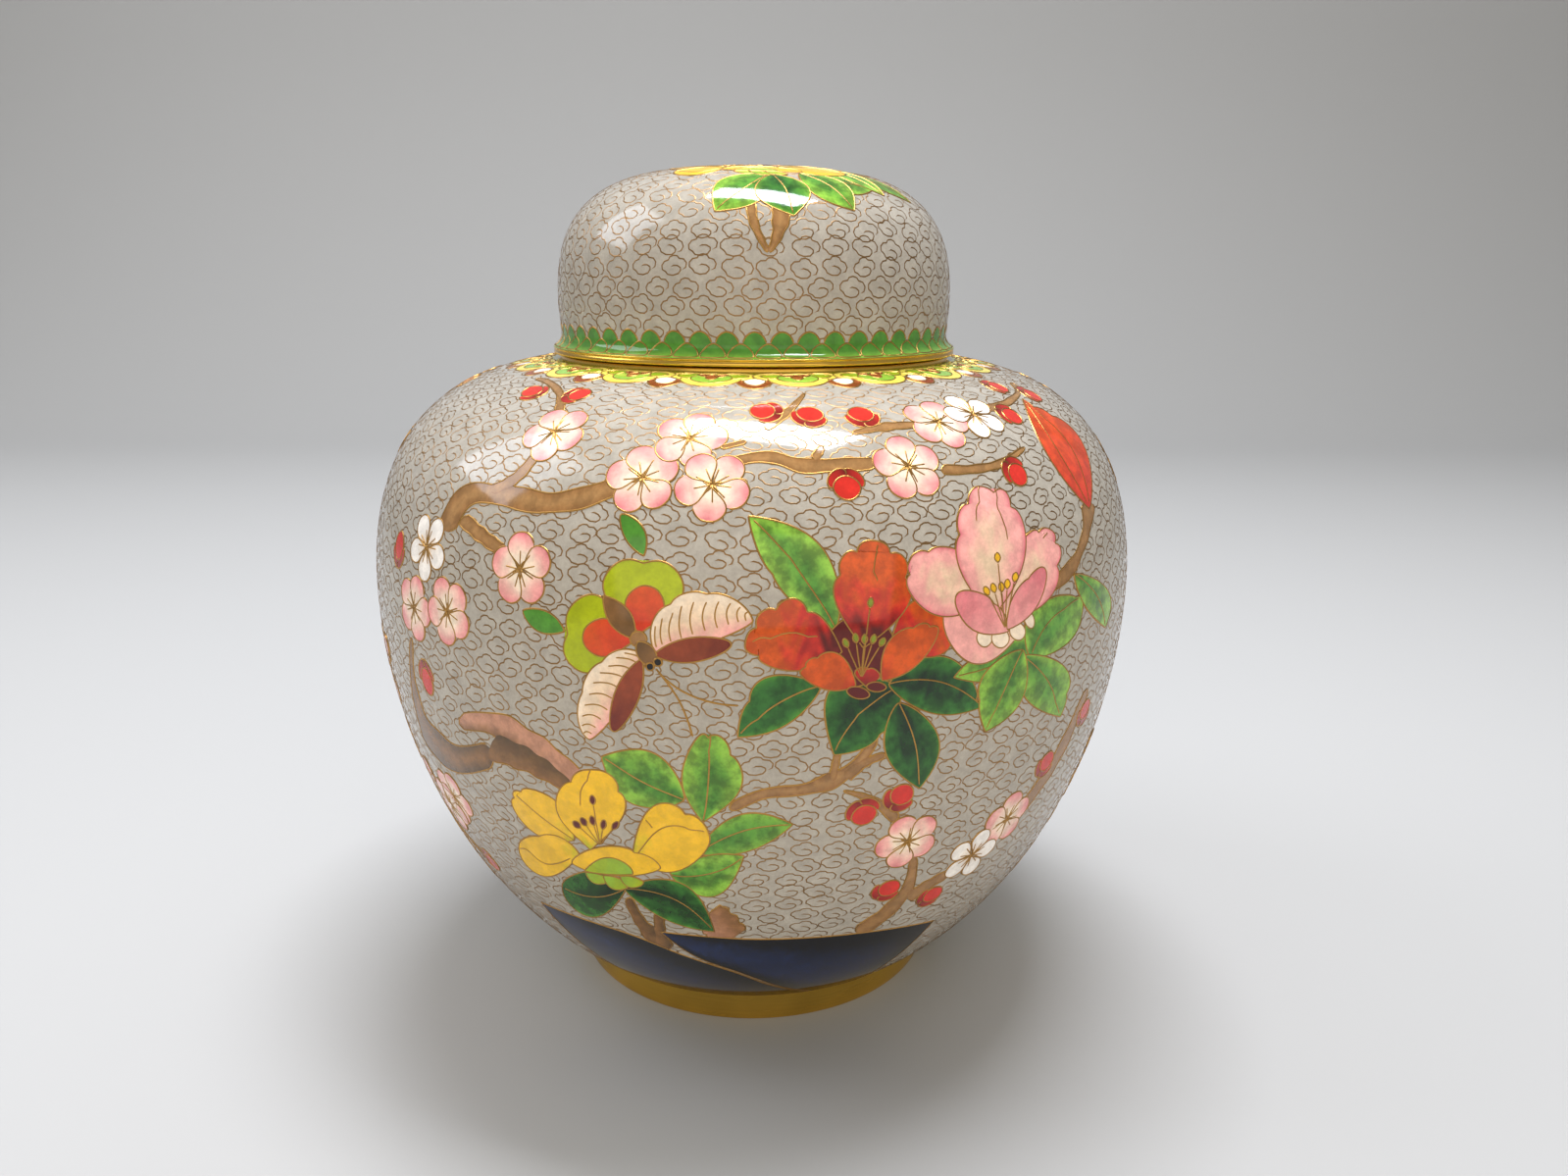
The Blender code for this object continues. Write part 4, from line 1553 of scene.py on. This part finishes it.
@dataclass
class LidShell:
    """The lid: a dome that turns down into a straight wall and flares to its gilded rim."""

    sizes: Sizes
    ground: Array
    counter: Array

    def build(self, enamel: Material) -> bpy.types.Object:
        """Make the dome, which stands for the lid's solid."""
        z = self.sizes
        outside = z.lid_outline()
        crown = (0.0, z.lid_crown - z.lid_wall)
        widest = (z.lid_radius + z.lid_swell - z.lid_wall, z.lid_widest)
        ceiling = swept_quarter(widest, crown, z.lid_squareness, 24)
        inside = np.vstack([[(z.lid_bore, z.rim_top), (z.lid_bore, z.rim_top + z.lip_height)], ceiling])
        shell = Patchwork("enamelled_lid")
        shell.add_turned(outside, LID_COLUMNS, self.ground, point_rows=(0,))
        shell.add_turned(np.array([outside[-1], inside[0]]), LID_COLUMNS, self.counter)
        shell.add_turned(inside, INSIDE_COLUMNS, self.counter, point_rows=(len(inside) - 1,))
        piece = shell.build([enamel])
        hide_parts("lid")
        return piece


@dataclass
class GildedRings:
    """The bare gilded metal: the foot ring under the jar and the band round the lid's lower edge."""

    sizes: Sizes
    ease: float = 0.0004

    def build_ring(self, name: str, outline: Array, gilt: Material, node: str) -> bpy.types.Object:
        """Turn a closed outline, which runs down its outer side, into the ring that stands for a node."""
        ring = Patchwork(name)
        ring.add_turned(outline, JAR_COLUMNS, np.ones(4), loop_rows=True)
        piece = ring.build([gilt])
        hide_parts(node)
        return piece

    def foot_outline(self) -> Array:
        """A plain ring, a little wider at its top, with eased edges."""
        z, e = self.sizes, self.ease
        inner = z.foot_radius - z.foot_wall
        t = np.linspace(0.0, 1.0, 10)[:, None]
        top, bottom = np.array([z.foot_radius + z.foot_flare, z.base[1]]), np.array([z.foot_radius, e])
        outside = top + (bottom - top) * t
        rest = [(z.foot_radius - e / 3, e / 3), (z.foot_radius - e, 0.0), (inner + e, 0.0), (inner, e),
                (inner, z.base[1])]
        return np.vstack([outside, rest])

    def rim_outline(self) -> Array:
        """A flared upper lip, a fine groove and a band below it."""
        z, e = self.sizes, self.ease
        r, top, bottom = z.lip_radius, z.rim_top, z.rim_bottom
        return np.array([
            (r, top), (r + e / 4, top - e / 2), (r, top - e), (r - e / 2, top - 1.4 * e),
            (r - e / 2, top - 1.7 * e), (r, top - 2.1 * e), (r, bottom + e / 2), (r - e / 2, bottom),
            (z.lid_bore, bottom), (z.lid_bore, top),
        ])

    def build(self, gilt: Material) -> None:
        """Make both rings."""
        self.build_ring("gilded_foot", self.foot_outline(), gilt, "foot_ring")
        self.build_ring("gilded_lid_rim", self.rim_outline(), gilt, "lid_rim")


# The studio


@dataclass(frozen=True)
class Softbox:
    """A soft rectangular lamp that faces a point."""

    name: str
    place: tuple[float, float, float]
    target: tuple[float, float, float]
    size: Point
    watts: float
    tint: str = "#FFFFFF"
    mirrored: bool = True

    def build(self) -> None:
        """Add the lamp, which shows in the gloss only where it is mirrored."""
        data = bpy.data.lights.new(self.name, "AREA")
        data.shape = "RECTANGLE"
        data.size, data.size_y = self.size
        data.energy = self.watts
        data.color = linear(self.tint)
        lamp = bpy.data.objects.new(self.name, data)
        lamp.visible_glossy = self.mirrored
        bpy.context.scene.collection.objects.link(lamp)
        back = unit(np.array(self.place) - np.array(self.target))
        side = unit(np.cross([0.0, 0.0, 1.0], back))
        pose = np.column_stack([side, np.cross(back, side), back, self.place])
        lamp.matrix_world = Matrix(pose.tolist()).to_4x4()


@dataclass(frozen=True)
class Studio:
    """A pale floor that sweeps up behind the jar, and soft lamps round it."""

    floor_colour: str = "#B0AFAB"
    daylight: str = "#F0F4FF"
    warm_white: str = "#FFF4E8"
    half_width: float = 1.6
    front: float = -1.2
    back: float = 0.9
    sweep: float = 0.5
    wall: float = 1.2
    world: float = 0.32

    def build(self) -> None:
        """Add the floor, the world and the lamps."""
        angle = np.linspace(0.0, np.pi / 2, 16)
        run = np.concatenate([[self.front], self.back + self.sweep * np.sin(angle), [self.back + self.sweep]])
        rise = np.concatenate([[0.0], self.sweep * (1 - np.cos(angle)), [self.wall]])
        across = np.linspace(-self.half_width, self.half_width, 3)
        grid = np.stack(np.broadcast_arrays(across[None], run[:, None], rise[:, None]), -1)
        sheet = bpy.data.meshes.new("studio_floor")
        rows, columns = grid.shape[:2]
        index = np.arange(rows * columns).reshape(rows, columns)
        quads = np.stack([index[:-1, :-1], index[:-1, 1:], index[1:, 1:], index[1:, :-1]], -1).reshape(-1, 4)
        sheet.from_pydata(grid.reshape(-1, 3), [], quads.tolist())
        sheet.polygons.foreach_set("use_smooth", np.ones(len(quads), bool))
        material, _, shader = new_material("matt_paper_floor")
        shader.inputs["Base Color"].default_value = (*linear(self.floor_colour), 1.0)
        shader.inputs["Roughness"].default_value = 0.9
        sheet.materials.append(material)
        floor = bpy.data.objects.new("studio_floor", sheet)
        bpy.context.scene.collection.objects.link(floor)
        world = bpy.data.worlds.new("studio_world")
        world.use_nodes = True
        background = world.node_tree.nodes["Background"]
        background.inputs["Color"].default_value = (1.0, 1.0, 1.0, 1.0)
        background.inputs["Strength"].default_value = self.world
        bpy.context.scene.world = world
        for lamp in (
            Softbox("window_box", (0.05, 0.1, 1.1), (0.0, 0.0, 0.12), (0.55, 0.26), 14.0, self.daylight),
            Softbox("side_window", (-1.2, 0.15, 1.1), (0.0, 0.0, 0.12), (0.8, 0.8), 8.0, self.daylight),
            Softbox("ceiling_panel", (0.0, 0.25, 1.6), (0.0, 0.0, 0.12), (2.4, 1.8), 13.0, self.daylight,
                    mirrored=False),
            Softbox("front_fill", (0.1, -1.2, 0.45), (0.0, 0.0, 0.06), (1.8, 0.9), 7.5, self.warm_white,
                    mirrored=False),
            Softbox("front_glow", (0.0, -1.5, 0.5), (0.0, 0.0, 0.06), (2.4, 1.0), 5.5, self.warm_white),
        ):
            lamp.build()


def main() -> None:
    """Build the jar from the inside out, then light it."""
    logging.basicConfig(level=logging.INFO, format="%(name)s: %(message)s")
    view = PhotoView()
    view.add_camera()
    sizes = Sizes()
    enamel = FusedEnamel("fused_enamel_polished").build()
    gilt = GildedCopper("fire_gilded_copper_brushed", "#FBCC5C", 0.22).build()
    # The wires' gold is darker than the foot's and the rim's: painted shade that stands for the dark
    # surroundings the thin wires mirror.
    wire = GildedCopper("gilded_cloison_wire_painted_dark", "#C49450", 0.36).build()
    fine = GildedCopper("gilded_scroll_wire_painted_dark", "#A98458", 0.42).build()
    ground, counter = glazed(Enamel.GROUND, 0.2), glazed(Enamel.TURQUOISE)
    JarShell(sizes, ground, counter, np.ones(4)).build(enamel, gilt)
    LidShell(sizes, ground, counter).build(enamel)
    GildedRings(sizes).build(gilt)
    JarPicture(TurnedSkin(sizes.body_outline()), view).build(enamel, wire, fine)
    LidPicture(TurnedSkin(sizes.lid_outline()), view).build(enamel, wire, fine)
    bpy.context.scene.view_settings.view_transform = "Standard"
    Studio().build()


if __name__ == "__main__":
    main()
